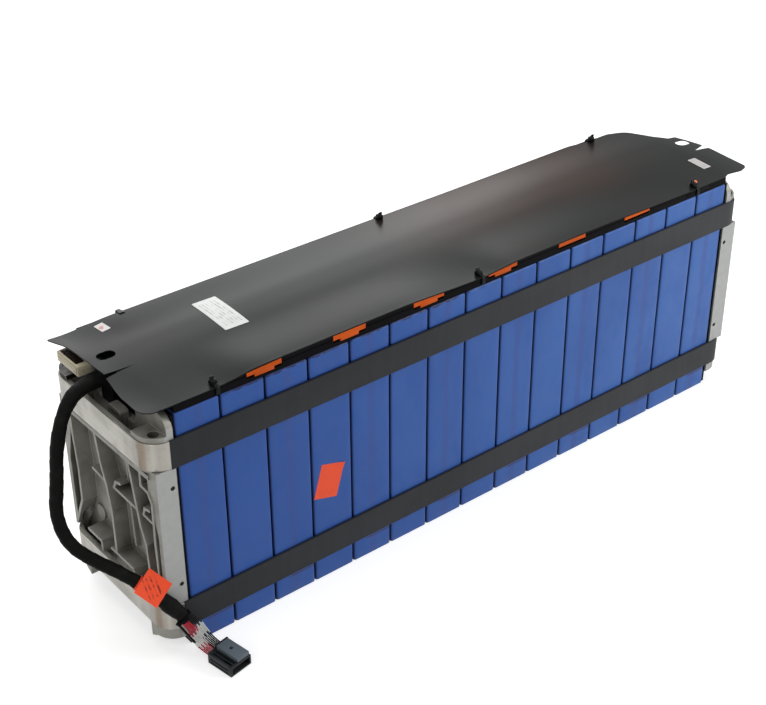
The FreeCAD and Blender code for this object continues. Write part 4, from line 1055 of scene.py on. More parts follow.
@dataclass(frozen=True)
class LoomTape:
    """Black cloth tape: woven relief that follows the loom's own map, dusty on its laps."""

    name: str = "loom_tape"
    colour: Colour = (0.0040, 0.0039, 0.0037)
    dust: Colour = (0.011, 0.0105, 0.010)
    thread: float = 0.45 * MM
    bias: float = 0.6

    def material(self) -> Material:
        """Builds the material.

        Returns:
            The material.
        """
        tree = ShaderTree(self.name)
        lay = tree.node("ShaderNodeUVMap", uv_map="lay").outputs[0]
        turn = (0.0, 0.0, self.bias)
        turned = tree.node("ShaderNodeMapping", {"Vector": lay, "Rotation": turn}).outputs[0]
        scale = 1.0 / self.thread / 6.28
        waves = []
        for direction in ("X", "Y"):
            inputs = {"Vector": turned, "Scale": scale * 2}
            wave = tree.node("ShaderNodeTexWave", inputs, bands_direction=direction)
            waves.append(wave.outputs["Fac"])
        weave = tree.times(waves[0], waves[1])
        cloud = tree.grain(8 * MM, 4.0)
        colour = tree.mix(tree.spread(cloud, 0.45, 0.75), self.colour, self.dust)
        rough = tree.around(cloud, 0.65, 0.10)
        normal = tree.bump(weave, 0.05 * MM)
        return tree.close(colour, rough, normal, IOR=1.15)


class Mark(Enum):
    """What a label carries."""

    BARE = "bare"
    RULED = "ruled"
    SPOT = "spot"


@dataclass(frozen=True)
class LabelPaper:
    """Coated label stock, slightly soiled: bare, with broken ruled lines or with one patch."""

    name: str
    colour: Colour
    mark: Mark = Mark.BARE
    ink: Colour = (0.42, 0.43, 0.43)
    middle: Span = (0.0, 0.0)
    size: Span = (20 * MM, 46 * MM)
    rule: float = 2.5 * MM

    def ruled(self, tree: ShaderTree) -> Socket:
        """Thin broken lines down the label, short of its margins.

        Args:
            tree: Tree of the label's material.

        Returns:
            Socket of the ink's share.
        """
        x = tree.minus(tree.axis(Axis.X), self.middle[0])
        y = tree.minus(tree.axis(Axis.Y), self.middle[1])
        rows = tree.number("FRACT", tree.number("DIVIDE", tree.plus(x, 1.0), self.rule))
        line = tree.spread(tree.size(tree.minus(rows, 0.5)), 0.34, 0.12)
        worn = tree.spread(tree.grain(5.5 * MM, 3.0, (1.6, 1.0, 1.0)), 0.40, 0.62, 0.10, 0.85)
        line = tree.times(line, worn)
        inside_x = tree.number("LESS_THAN", tree.size(x), self.size[0] * 0.38)
        inside_y = tree.number("LESS_THAN", tree.size(y), self.size[1] * 0.40)
        return tree.times(tree.times(line, inside_x), inside_y)

    def spot(self, tree: ShaderTree) -> Socket:
        """One uneven patch in the middle of the label.

        Args:
            tree: Tree of the label's material.

        Returns:
            Socket of the ink's share.
        """
        x = tree.minus(tree.axis(Axis.X), self.middle[0])
        y = tree.minus(tree.axis(Axis.Y), self.middle[1])
        square = tree.plus(tree.times(x, x), tree.times(y, y))
        uneven = tree.around(tree.grain(3.2 * MM, 2.0), 0.0, 1.6 * MM)
        reach = self.size[0] * 0.22
        off = tree.plus(tree.number("SQRT", square), uneven)
        return tree.spread(off, reach * 1.25, reach * 0.8, 0.0, 0.7)

    def material(self) -> Material:
        """Builds the material.

        Returns:
            The material.
        """
        tree = ShaderTree(self.name)
        soil = tree.spread(tree.grain(9 * MM, 5.0), 0.4, 0.8, 0.0, 0.25)
        colour: object = tree.mix(soil, self.colour, tuple(value * 0.7 for value in self.colour))
        if self.mark is not Mark.BARE:
            shown = self.ruled(tree) if self.mark is Mark.RULED else self.spot(tree)
            colour = tree.mix(shown, colour, self.ink)
        fine = tree.grain(0.8 * MM, 2.0)
        normal = tree.bump(fine, 0.01 * MM)
        return tree.close(colour, tree.around(fine, 0.42, 0.06), normal, IOR=1.33)


@dataclass(frozen=True)
class BoardLaminate:
    """Green circuit laminate with fine copper tracks that show through the lacquer."""

    name: str = "board_green"
    colour: Colour = (0.0010, 0.0030, 0.0026)
    track: Colour = (0.0016, 0.0060, 0.0042)

    def material(self) -> Material:
        """Builds the material.

        Returns:
            The material.
        """
        tree = ShaderTree(self.name)
        inputs = {"Vector": tree.place, "Scale": 160.0}
        wave = tree.node("ShaderNodeTexWave", inputs, bands_direction="Y").outputs["Fac"]
        colour = tree.mix(tree.spread(wave, 0.55, 0.7), self.colour, self.track)
        fine = tree.grain(1.0 * MM)
        normal = tree.bump(wave, 0.03 * MM, tree.rounded(0.2 * MM))
        return tree.close(colour, tree.spread(fine, 0.3, 0.7, 0.25, 0.4), normal)


class Wardrobe:
    """All finishes by the slot that they dress."""

    def __init__(self) -> None:
        """Builds each material once."""
        finishes = {
            Slot.CELL_FILM: CellFilm(),
            Slot.CAST_METAL: CastMetal(),
            Slot.STRAP_STEEL: StrapSteel(),
            Slot.SLEEVE_FILM: SleeveFilm(),
            Slot.BLACK_SHEET: BlackSheet(),
            Slot.BLACK_PLASTIC: Moulded("black_plastic", (0.0034, 0.0032, 0.0040), 0.46, index=1.10),
            Slot.ORANGE_PLASTIC: Moulded("orange_plastic", (0.56, 0.085, 0.007), 0.48, 0.10,
                                         index=1.2),
            Slot.BAR_METAL: Moulded("bar_metal", (0.66, 0.65, 0.62), 0.30, 0.12, 0.3, metallic=0.95),
            Slot.AMBER_FILM: Moulded("amber_film", (0.36, 0.13, 0.018), 0.30, 0.12, 0.1),
            Slot.BOARD_GREEN: BoardLaminate(),
            Slot.CREAM_PLASTIC: Moulded("cream_plastic", (0.50, 0.45, 0.32), 0.42, 0.08),
            Slot.WHITE_LABEL: LabelPaper("white_label", (0.70, 0.71, 0.69)),
            Slot.ORANGE_LABEL: LabelPaper("orange_label", (0.88, 0.088, 0.028)),
            Slot.LOOM_TAPE: LoomTape(),
            Slot.RED_LEAD: Moulded("red_lead", (0.46, 0.016, 0.036), 0.36, 0.12, 0.0, 1.35,
                                   relief=0.01 * MM),
            Slot.BLACK_LEAD: Moulded("black_lead", (0.006, 0.006, 0.006), 0.36, 0.15, 0.0, 1.2,
                                     relief=0.01 * MM),
            Slot.WHITE_SLEEVE: Moulded("white_sleeve", (0.68, 0.69, 0.65), 0.50, 0.10, 0.1),
            # painted shade: the plug housing is a darkened copy of its blue-grey plastic
            Slot.PLUG_PLASTIC: Moulded("plug_plastic", (0.020, 0.024, 0.026), 0.42, 0.10, 0.5, 1.25),
        }
        self.materials = {slot: finish.material() for slot, finish in finishes.items()}
        self.nylon = Moulded("tie_nylon", (0.0034, 0.0034, 0.0036), 0.32, 0.10, 0.1, 1.20).material()
        # painted light: the block on the plug is a lightened copy of the same plastic
        self.plug_top = Moulded("plug_top", (0.122, 0.150, 0.172), 0.44, 0.08, 0.4, 1.3).material()
        # painted shadow: brownish black for the ribbed block in the header's well
        terminal = Moulded("terminal_black", (0.016, 0.010, 0.007), 0.50, 0.20, 0.2, 1.15)
        self.terminal_black = terminal.material()

    def enter(self, piece: Piece, slot: Slot, nodes: Sequence[str] = (),
              finish: Material | None = None) -> Piece:
        """Dresses a new piece, rides it on the part's one body and reports it.

        Args:
            piece: The piece.
            slot: Slot that it takes its finish from.
            nodes: Solids that it stands for.
            finish: Another material of the same kind, where the slot's own one doesn't do.

        Returns:
            The piece.
        """
        piece.data.materials.clear()
        piece.data.materials.append(finish or self.materials[slot])
        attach(piece, BODY)
        if nodes:
            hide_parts(*nodes)
        log.info("%s: %s, stands for %s", piece.name, slot.value, ", ".join(nodes) or "nothing")
        return piece

    def dress_solids(self) -> None:
        """Gives every solid of the frame the finish of its slot."""
        slots = {part["node"]: part["material_slot"] for part in frame["record"]["subparts"]}
        for name, solid in frame["nodes"].items():
            slot = Slot(slots[name])
            if solid.material_slots:
                for holder in solid.material_slots:
                    holder.material = self.materials[slot]
            else:
                solid.data.materials.append(self.materials[slot])
        log.info("dressed %d solids", len(frame["nodes"]))


@dataclass(frozen=True)
class Studio:
    """Camera, pale floor, soft lamps and white surroundings."""

    image_width: int = 766
    focal_pixels: float = 1541.55
    sensor: float = 36.0
    camera_place: Point = (-0.69910, -0.81185, 0.76873)
    camera_right: Point = (0.77763, -0.62870, -0.00515)
    camera_down: Point = (-0.33298, -0.40488, -0.85158)
    camera_forward: Point = (0.53330, 0.66393, -0.52419)
    floor_half: float = 4.0
    floor_drop: float = 0.2 * MM
    floor_colour: Colour = (0.62, 0.62, 0.62)
    floor_glow: float = 0.60
    ambient: float = 0.34

    def camera(self) -> None:
        """Makes the camera where the photograph was taken from."""
        data = bpy.data.cameras.new("camera")
        data.sensor_width = self.sensor
        data.lens = self.focal_pixels * self.sensor / self.image_width
        data.clip_end = 50.0
        view = link("camera", data)
        columns = (
            Vector(self.camera_right),
            -Vector(self.camera_down),
            -Vector(self.camera_forward),
        )
        turn = Matrix(columns).transposed().to_4x4()
        view.matrix_world = Matrix.Translation(self.camera_place) @ turn
        bpy.context.scene.camera = view

    def shown_light(self, tree: NodeTree) -> Socket:
        """Value that is 1 for rays from the camera and from gloss or glass.

        Args:
            tree: Tree that takes its nodes.

        Returns:
            Socket of the value.
        """
        rays = tree.node("ShaderNodeLightPath").outputs
        shown = tree.plus(rays["Is Camera Ray"], rays["Is Glossy Ray"], clamp=True)
        return tree.plus(shown, rays["Is Transmission Ray"], clamp=True)

    def world(self) -> None:
        """White surroundings that light the object more softly than they show."""
        world = bpy.data.worlds.new("surroundings")
        world.use_nodes = True
        tree = NodeTree(world.node_tree)
        back = tree.tree.nodes["Background"]
        back.inputs["Color"].default_value = opaque(WHITE)
        inputs = {"Value": self.shown_light(tree), "To Min": self.ambient, "To Max": 1.0}
        strength = tree.node("ShaderNodeMapRange", inputs).outputs[0]
        tree.tree.links.new(strength, back.inputs["Strength"])
        bpy.context.scene.world = world

    def floor(self) -> None:
        """Pale floor that shows nearly white and keeps the object's shadow."""
        shape = bmesh.new()
        bmesh.ops.create_grid(shape, x_segments=8, y_segments=8, size=self.floor_half)
        bmesh.ops.translate(shape, vec=(0.0, 0.0, -self.floor_drop), verts=shape.verts)
        ground = make("floor", shape, outward=False)
        tree = ShaderTree("floor")
        glow = tree.times(self.shown_light(tree), self.floor_glow)
        inputs = {"Base Color": opaque(self.floor_colour), "Roughness": 0.9,
                  "Emission Color": opaque(WHITE), "Emission Strength": glow}
        shine = tree.node("ShaderNodeBsdfPrincipled", inputs)
        tree.node("ShaderNodeOutputMaterial", {"Surface": shine.outputs[0]})
        ground.data.materials.append(tree.material)

    def lamp(self, name: str, place: Point, target: Point, size: Span,
             power: float) -> None:
        """Rectangular soft lamp.

        Args:
            name: Name of the lamp.
            place: Where it stands.
            target: What it points at.
            size: Width and height of its face.
            power: Power in watts.
        """
        data = bpy.data.lights.new(name, "AREA")
        data.shape = "RECTANGLE"
        data.size, data.size_y = size
        data.energy = power
        made = link(name, data)
        aim = (Vector(target) - Vector(place)).to_track_quat("-Z", "Y")
        made.matrix_world = Matrix.Translation(place) @ aim.to_matrix().to_4x4()

    def build(self) -> None:
        """Sets up everything round the object."""
        self.camera()
        self.world()
        self.floor()
        self.lamp("key", (0.95, -1.05, 0.75), (0.25, 0.0, 0.10), (0.8, 0.8), 13.0)
        self.lamp("fill", (-1.5, -0.5, 1.3), (-0.3, 0.0, 0.1), (1.2, 1.2), 7.0)
        self.lamp("top", (-0.1, 0.2, 1.9), (0.0, 0.0, 0.2), (1.4, 1.4), 9.0)
        self.lamp("back", (0.40, 1.5, 0.85), (0.0, 0.0, 0.21), (1.8, 0.75), 20.0)
        bpy.context.scene.view_settings.view_transform = "Standard"
        log.info("studio ready")


@dataclass(frozen=True)
class SignalLoom:
    """Taped signal loom from the near clip to its cut mouth, with its flag label and its tie."""

    route: tuple[Point, ...] = (
        (-0.2850, 0.0105, 0.1970),
        (-0.3030, 0.0105, 0.1970),
        (-0.3215, 0.0035, 0.1910),
        (-0.3350, -0.0055, 0.1710),
        (-0.3415, -0.0110, 0.1455),
        (-0.3475, -0.0145, 0.1205),
        (-0.3455, -0.0230, 0.1010),
        (-0.3350, -0.0345, 0.0885),
        (-0.3205, -0.0490, 0.0785),
        (-0.3055, -0.0660, 0.0630),
        (-0.2885, -0.0770, 0.0380),
    )
    radius: float = 5.0 * MM
    lap_pitch: float = 9.5 * MM
    lap_height: float = 0.32 * MM
    lump: float = 0.85 * MM
    tape_sink: float = 0.35 * MM
    flare: float = 3.0 * MM
    flare_length: float = 42.0 * MM
    bulge: float = 1.3 * MM
    bulge_from_mouth: Span = (16.0 * MM, 13.0 * MM)
    ring_step: float = 0.9 * MM
    ring_sides: int = 32
    whole: float = 238.2 * MM
    tag_place: Point = (-0.30805, -0.06311, 0.06564)
    tag_up: Point = (0.83, 0.31, 0.46)
    tag_size: float = 20.0 * MM
    tag_below: float = 8.6 * MM
    tag_thick: float = 0.35 * MM
    tag_curl: float = 1.6 * MM
    tag_colour: Colour = (0.86, 0.078, 0.022)
    tag_ink: Colour = (0.10, 0.012, 0.008)
    tie_from_mouth: float = 2.4 * MM
    tie_width: float = 2.6 * MM
    tie_thick: float = 0.7 * MM
    tie_head: float = 4.4 * MM
    tie_tail: float = 20.0 * MM

    def line(self) -> Line:
        """The loom's own line."""
        return Line(self.route)

    def skin(self, distance: float, turn: float) -> float:
        """Radius of the taped skin.

        Args:
            distance: Distance along the loom.
            turn: Angle round it.

        Returns:
            The radius in metres.
        """
        lap = (distance / self.lap_pitch + turn / (2 * math.pi)) % 1.0
        step = self.lap_height * (1.0 - lap) * min(1.0, lap * 12.0)
        spot = Vector((math.cos(turn) * 1.1, math.sin(turn) * 1.1, distance * 62.0))
        mouth = max(0.0, 1.0 - distance / self.flare_length)
        spread = self.flare * mouth * math.sin(turn) ** 2
        middle, reach = self.bulge_from_mouth
        near = min(1.0, abs(self.whole - middle - distance) / reach)
        spread += self.bulge * (0.5 + 0.5 * math.cos(math.pi * near))
        lumps = self.lump * 0.5 * (1.0 - mouth) * noise.noise(spot)
        return self.radius - self.tape_sink + step + lumps + spread

    def tape(self, line: Line, wardrobe: Wardrobe) -> Piece:
        """Taped bundle.

        Args:
            line: Line that it follows.
            wardrobe: Finishes.

        Returns:
            The piece.
        """
        shape = bmesh.new()
        rings = tube_rings(line, 0.0, line.length, self.ring_step, self.ring_sides, self.skin)
        loft(shape, rings)
        piece = make("signal_loom_tape", shape, angle=math.radians(60))
        layer = piece.data.uv_layers.new(name="lay")
        for corner in piece.data.loops:
            index = corner.vertex_index
            ring, side = divmod(index, self.ring_sides)
            around = side / self.ring_sides * 2 * math.pi * self.radius
            layer.data[corner.index].uv = (around, ring * self.ring_step)
        return wardrobe.enter(piece, Slot.LOOM_TAPE, ["signal_loom"])

    def flag(self, line: Line, wardrobe: Wardrobe) -> Piece:
        """Label folded round the loom: a snug wrap and a flap that curls a little at its corner.

        Args:
            line: Line of the loom.
            wardrobe: Finishes.

        Returns:
            The piece.
        """
        middle = line.nearest(Vector(self.tag_place))
        start = middle - self.tag_size / 2
        inner = self.radius + 0.25 * MM
        shape = bmesh.new()
        outer, end = inner + self.tag_thick, start + self.tag_size
        outside = tube_rings(line, start, end, 1.0 * MM, 36, lambda s, a: outer)
        inside = tube_rings(line, start, end, 1.0 * MM, 36, lambda s, a: inner)
        loft(shape, outside + inside[::-1], loop=True)
        point, along, _ = line.station(middle)
        point = point - along * (self.tag_size / 2)
        up = Vector(self.tag_up)
        up = (up - along * along.dot(up)).normalized()
        front = up.cross(along).normalized()
        front = -front if front.y > 0 else front
        corner = point + front * (outer + 0.15 * MM) - up * self.tag_below
        steps = 10

        def place(i: int, j: int) -> Vector:
            """Place of one corner of the flap, which curls more towards its free end.

            Args:
                i: Number of the corner along the loom.
                j: Number of the corner up the flap.

            Returns:
                The place.
            """
            a, b = i / steps, j / steps
            curl = self.tag_curl * (a * a * 0.6 + b * b * 0.5) * max(0.0, b - 0.2)
            lift = front * (0.5 * self.tag_thick + curl)
            return corner + along * (a * self.tag_size) + up * (b * self.tag_size) + lift

        flap, _ = patch(place, (steps, steps))
        bmesh.ops.recalc_face_normals(flap, faces=flap.faces)
        bmesh.ops.solidify(flap, geom=flap.faces, thickness=self.tag_thick)
        piece = make("loom_flag_label", gather([shape, flap]))
        marked = (self.tag_place[0] + 1.5 * MM, self.tag_place[1] - 3.5 * MM)
        paper = LabelPaper("flag_label", self.tag_colour, Mark.RULED, self.tag_ink, marked,
                           (15.0 * MM, 11.0 * MM), 3.0 * MM)
        return wardrobe.enter(piece, Slot.ORANGE_LABEL, ["loom_tag"], paper.material())

    def tie(self, line: Line, wardrobe: Wardrobe) -> Piece:
        """Small tie at the mouth of the tape, with its head and its trimmed tail.

        Args:
            line: Line of the loom.
            wardrobe: Finishes.

        Returns:
            The piece.
        """
        centre = line.length - self.tie_from_mouth
        point, along, _ = line.station(centre)
        out = (along * along.x - Vector((1.0, 0.0, 0.0))).normalized()
        across = along.cross(out).normalized()
        inner = self.radius + 0.1 * MM
        half = self.tie_width / 2
        shape = bmesh.new()
        narrow = half * 0.75
        section = ((0.0, -half), (0.0, half), (0.7, half),
                   (1.0, narrow), (1.0, -narrow), (0.7, -half))
        rings = []
        for cos, sin in circle(40):
            ray = out * cos + across * sin
            start = point + ray * inner
            rings.append([start + ray * (t * self.tie_thick) + along * w for t, w in section])
        loft(shape, rings, loop=True)
        turn = Matrix((across, out, along)).transposed().to_4x4()
        place = Matrix.Translation(point) @ turn
        low = inner + 0.1 * MM
        wide = self.tie_head / 2
        head = bevelled_box((-wide, low, -half), (wide, low + 2.8 * MM, half), 0.6 * MM, 3)
        slot = bevelled_box((-1.2 * MM, low + 0.8 * MM, half),
                            (1.2 * MM, low + 2.0 * MM, half + 0.3 * MM), 0.2 * MM)
        tail = bmesh.new()
        sections = []
        steps = 12
        for k in range(steps + 1):
            share = k / steps
            z = -half + share * self.tie_tail
            sag = 3.0 * MM * share
            thick = (0.72 if k % 2 else 0.6) * MM
            wide = (1.6 - 0.2 * share) * MM
            y = low + 1.5 * MM + sag
            corners = ((-1, -1), (1, -1), (1, 1), (-1, 1))
            sections.append([Vector((sx * wide, y + sy * thick, z)) for sx, sy in corners])
        loft(tail, sections)
        whole = gather([shape, gather([head, slot, tail], place)])
        piece = make("loom_mouth_tie", whole)
        return wardrobe.enter(piece, Slot.BLACK_PLASTIC, ["loom_tie"])


@dataclass(frozen=True)
class Leads:
    """One bunch of thin wires from the loom's mouth to the plug, with white marker sleeves."""

    colour: str
    slot: Slot
    route: tuple[Point, ...]
    count: int = 6
    diameter: float = 1.05 * MM
    pitch: float = 1.34 * MM
    gathered_pitch: float = 0.95 * MM
    width: float = 7.2 * MM
    rings: int = 56
    sides: int = 12
    sleeve_diameter: float = 1.2 * MM
    sleeve_start: float = 0.28
    sleeve_end: float = 0.62
    sleeve_stagger: float = 0.045
    across: Point = (0.9848, 0.1736, 0.0)
    seed: int = 3

    def strands(self, name: str, diameter: float, start: float, end: float, stagger: float,
                finish: Material) -> Piece:
        """Round strands side by side along the bunch's route, by Geometry Nodes.

        Args:
            name: Name of the piece.
            diameter: Diameter of one strand.
            start: Share of the route where the strands start.
            end: Share of the route where they end.
            stagger: How far every other strand is shifted, as a share of the route.
            finish: Material of the strands.

        Returns:
            The plain piece.
        """
        tree = GeometryTree(name + "_strands")
        count = tree.given("Strand Count", "Int", self.count)
        thick = tree.given("Strand Diameter", "Float", diameter)
        pitch = tree.given("Pitch", "Float", self.pitch)
        gathered = tree.given("Gathered Pitch", "Float", self.gathered_pitch)
        across = tree.given("Across", "Vector", self.across)
        begin = tree.given("Start", "Float", start)
        finish_at = tree.given("End", "Float", end)
        shift = tree.given("Stagger", "Float", stagger)
        seed = tree.given("Seed", "Int", self.seed)
        dress = tree.given("Finish", "Material", finish)
        inputs = {"Curve": tree.geometry, "Count": self.rings}
        even = tree.node("GeometryNodeResampleCurve", inputs).outputs[0]
        inputs = {"Geometry": even, "Amount": count}
        doubled = tree.node("GeometryNodeDuplicateElements", inputs, domain="SPLINE")
        index = doubled.outputs["Duplicate Index"]
        middle = tree.times(tree.minus(count, 1.0), 0.5)
        rank = tree.minus(index, middle)
        share = tree.node("GeometryNodeSplineParameter").outputs["Factor"]
        inputs = {"Value": share, 1: 0.0, 2: 0.4, 3: 0.0, 4: 1.0}
        opened = tree.node("ShaderNodeMapRange", inputs, interpolation_type="SMOOTHSTEP").outputs[0]
        spacing = tree.plus(gathered, tree.times(opened, tree.minus(pitch, gathered)))
        along = tree.node("GeometryNodeInputTangent").outputs[0]
        lean = tree.vector("DOT_PRODUCT", across, along, 1)
        flat = tree.vector("SUBTRACT", across, tree.scaled(along, lean))
        side = tree.node("ShaderNodeVectorMath", {0: flat}, operation="NORMALIZE").outputs[0]
        up = tree.vector("CROSS_PRODUCT", side, along)
        parity = tree.minus(tree.times(tree.number("MODULO", index, 2.0), 2.0), 1.0)
        closed = tree.minus(1.0, opened)
        rise = tree.times(tree.times(parity, closed), self.diameter * 0.38)
        sideways = tree.scaled(side, tree.times(rank, spacing))
        offset = tree.vector("ADD", sideways, tree.scaled(up, rise))
        moved = tree.moved(doubled.outputs[0], offset)
        inputs = {2: -0.5, 3: 0.5, "ID": index, "Seed": seed}
        random = tree.node("FunctionNodeRandomValue", inputs, data_type="FLOAT")
        slide = tree.times(tree.plus(parity, random.outputs[1]), shift)
        cut = tree.node("GeometryNodeTrimCurve", mode="FACTOR")
        tree.tree.links.new(moved, cut.inputs[0])
        tree.tree.links.new(tree.plus(begin, slide), cut.inputs[2])
        tree.tree.links.new(tree.plus(finish_at, slide), cut.inputs[3])
        radius = tree.times(thick, 0.5)
        inputs = {"Resolution": self.sides, "Radius": radius}
        ring = tree.node("GeometryNodeCurvePrimitiveCircle", inputs).outputs[0]
        inputs = {"Curve": cut.outputs[0], "Profile Curve": ring, "Fill Caps": True}
        skin = tree.node("GeometryNodeCurveToMesh", inputs).outputs[0]
        real = tree.node("GeometryNodeRealizeInstances", {"Geometry": skin}).outputs[0]
        piece = tree.run(nurbs(name + "_route", self.route), name, real, dress)
        return remark(piece, math.radians(50))

    def build(self, wardrobe: Wardrobe) -> tuple[Piece, Piece, Line]:
        """Wires and their sleeves.

        Args:
            wardrobe: Finishes.

        Returns:
            The wires, the sleeves and the bunch's line.
        """
        line = Line(self.route)
        wires = self.strands("leads_" + self.colour + "_wires", self.diameter, 0.0, 1.0, 0.0,
                             wardrobe.materials[self.slot])
        wardrobe.enter(wires, self.slot, ["leads_" + self.colour])
        sleeves = self.strands("marker_sleeves_" + self.colour, self.sleeve_diameter,
                               self.sleeve_start, self.sleeve_end, self.sleeve_stagger,
                               wardrobe.materials[Slot.WHITE_SLEEVE])
        wardrobe.enter(sleeves, Slot.WHITE_SLEEVE, ["marker_sleeve_" + self.colour])
        return wires, sleeves, line


@dataclass(frozen=True)
class Plug:
    """Rectangular cable plug: grooved housing with a rear collar and a block on it, the housing
    darkened by painted shade and the block lightened by painted light.
    """

    rear: Point = (-0.2710, -0.0870, 0.0)
    turn: float = math.radians(10.0)
    half: float = 10.0 * MM
    length: float = 23.9 * MM
    height: float = 8.5 * MM
    ridge_start: float = -2.5 * MM
    ridge_end: float = 9.0 * MM
    ridge_top: float = 12.0 * MM
    collar: float = 1.6 * MM
    wall: float = 1.4 * MM
    cavity_start: float = 11.0 * MM
    hole_count: int = 12
    hole_half: float = 0.56 * MM
    pin_half: float = 0.3 * MM
    margin: float = 2.2 * MM
    bevel: float = 0.4 * MM

    def block(self, across: Span, along: Span, up: Span, bevel: float | None = None) -> BMesh:
        """Rounded block of the plug in its own directions.

        Args:
            across: Limits from its middle line.
            along: Limits from its rear.
            up: Limits from the floor.
            bevel: Radius of the edges.

        Returns:
            The mesh.
        """
        low = (across[0], -along[1], up[0])
        high = (across[1], -along[0], up[1])
        return bevelled_box(low, high, self.bevel if bevel is None else bevel)

    def position(self, index: int, half: float) -> Span:
        """Limits across the plug of one of its holes or pins.

        Args:
            index: Its number in the row.
            half: Half its width.

        Returns:
            The limits.
        """
        pitch = 2 * (self.half - self.margin) / self.hole_count
        middle = -self.half + self.margin + pitch * (index + 0.5)
        return middle - half, middle + half

    def build(self, wardrobe: Wardrobe) -> list[Piece]:
        """Makes the plug's housing and the block on it.

        Args:
            wardrobe: Finishes.

        Returns:
            The two pieces.
        """
        half, end, high = self.half, self.length, self.height
        place = Matrix.Translation(self.rear) @ Matrix.Rotation(self.turn, 4, "Z")
        body = make("loom_plug_shell", self.block((-half, half), (0.4 * MM, end), (0.0, high)))
        rear = (0.0, self.collar)
        ridge = (self.ridge_start - 0.6 * MM, self.ridge_end + 0.5 * MM)
        solids = (
            ((-half, half), rear, (0.0, high + 0.9 * MM)),
            (ridge, rear, (0.0, self.ridge_top)),
            ((-half, -half + 1.6 * MM), (0.5 * MM, end - 3.0 * MM), (2.0 * MM, high + 0.7 * MM)),
        )
        for across, along, up in solids:
            body = carve(body, make("block", self.block(across, along, up)), "UNION")
        inside, outside = (-half + self.wall, half - self.wall), (-half - 1.0 * MM, -half + 0.9 * MM)
        groove, slit = (2.6 * MM, end - 2.0 * MM), (2.8 * MM, end - 2.4 * MM)
        cuts = [
            (inside, (self.cavity_start, end + 1.0 * MM), (self.wall, high - self.wall)),
            ((-5.0 * MM, -3.2 * MM), groove, (high - 2.2 * MM, high + 1.0 * MM)),
            ((-8.0 * MM, -6.1 * MM), groove, (high - 1.8 * MM, high + 1.0 * MM)),
            (outside, slit, (1.6 * MM, 3.0 * MM)),
            (outside, slit, (4.4 * MM, 6.0 * MM)),
        ]
        for index in range(self.hole_count):
            across = self.position(index, self.hole_half)
            cuts.append((across, (-1.0 * MM, 3.0 * MM), (3.9 * MM, 5.3 * MM)))
        for across, along, up in cuts:
            body = carve(body, make("cut", self.block(across, along, up, 0.15 * MM)), "DIFFERENCE")
        reach = (self.cavity_start - 1.0 * MM, end - 5.0 * MM)
        pins = []
        for row in range(2):
            level = 3.0 * MM + row * 2.2 * MM
            up = (level - self.pin_half, level + self.pin_half)
            for index in range(self.hole_count):
                pins.append(self.block(self.position(index, self.pin_half), reach, up, 0.1 * MM))
        piece = remark(make("loom_plug_shell", gather([taken(body), *pins], place), outward=False))
        wardrobe.enter(piece, Slot.PLUG_PLASTIC, ["loom_plug"])
        # the block on top takes the lightened copy of the plastic, as painted light
        ridge, reach = (self.ridge_start, self.ridge_end), (self.collar + 0.05 * MM, end - 0.6 * MM)
        block = make("loom_plug_block", self.block(ridge, reach, (high + 0.05 * MM, self.ridge_top)))
        window = self.block((1.6 * MM, 4.4 * MM), (9.6 * MM, 12.6 * MM),
                            (self.ridge_top - 3.0 * MM, self.ridge_top + 1.0 * MM))
        block = carve(block, make("cut", window), "DIFFERENCE")
        block = remark(make("loom_plug_block", gather([taken(block)], place), outward=False))
        return [piece, wardrobe.enter(block, Slot.PLUG_PLASTIC, ["loom_plug"], wardrobe.plug_top)]


@dataclass(frozen=True)
class LoomSet:
    """The loom with all that hangs on it."""

    loom: SignalLoom = SignalLoom()
    plug: Plug = Plug()
    red: Leads = Leads(
        "red",
        Slot.RED_LEAD,
        (
            (-0.29071, -0.07755, 0.03674),
            (-0.28727, -0.07978, 0.03169),
            (-0.28241, -0.07597, 0.01896),
            (-0.27694, -0.07637, 0.00460),
            (-0.27494, -0.08769, 0.00460),
        ),
        sleeve_start=0.40,
        sleeve_end=0.75,
    )
    black: Leads = Leads(
        "black",
        Slot.BLACK_LEAD,
        (
            (-0.28629, -0.07645, 0.03926),
            (-0.28286, -0.07868, 0.03421),
            (-0.27637, -0.07474, 0.02029),
            (-0.26906, -0.07498, 0.00460),
            (-0.26706, -0.08631, 0.00460),
        ),
    )

    def build(self, wardrobe: Wardrobe) -> None:
        """Makes the loom, its leads, its plug and what is tied to it.

        Args:
            wardrobe: Finishes.
        """
        line = self.loom.line()
        tape = self.loom.tape(line, wardrobe)
        flag = self.loom.flag(line, wardrobe)
        tie = self.loom.tie(line, wardrobe)
        plug = self.plug.build(wardrobe)
        bunches = [bunch.build(wardrobe) for bunch in (self.red, self.black)]
        pieces = [*plug, flag, tie]
        for (wires, sleeves, path), bunch in zip(bunches, (self.red, self.black)):
            pieces += [wires, sleeves]
            path.tuples()
        line.tuples()
        log.info("loom %.1f mm long", line.length / MM)


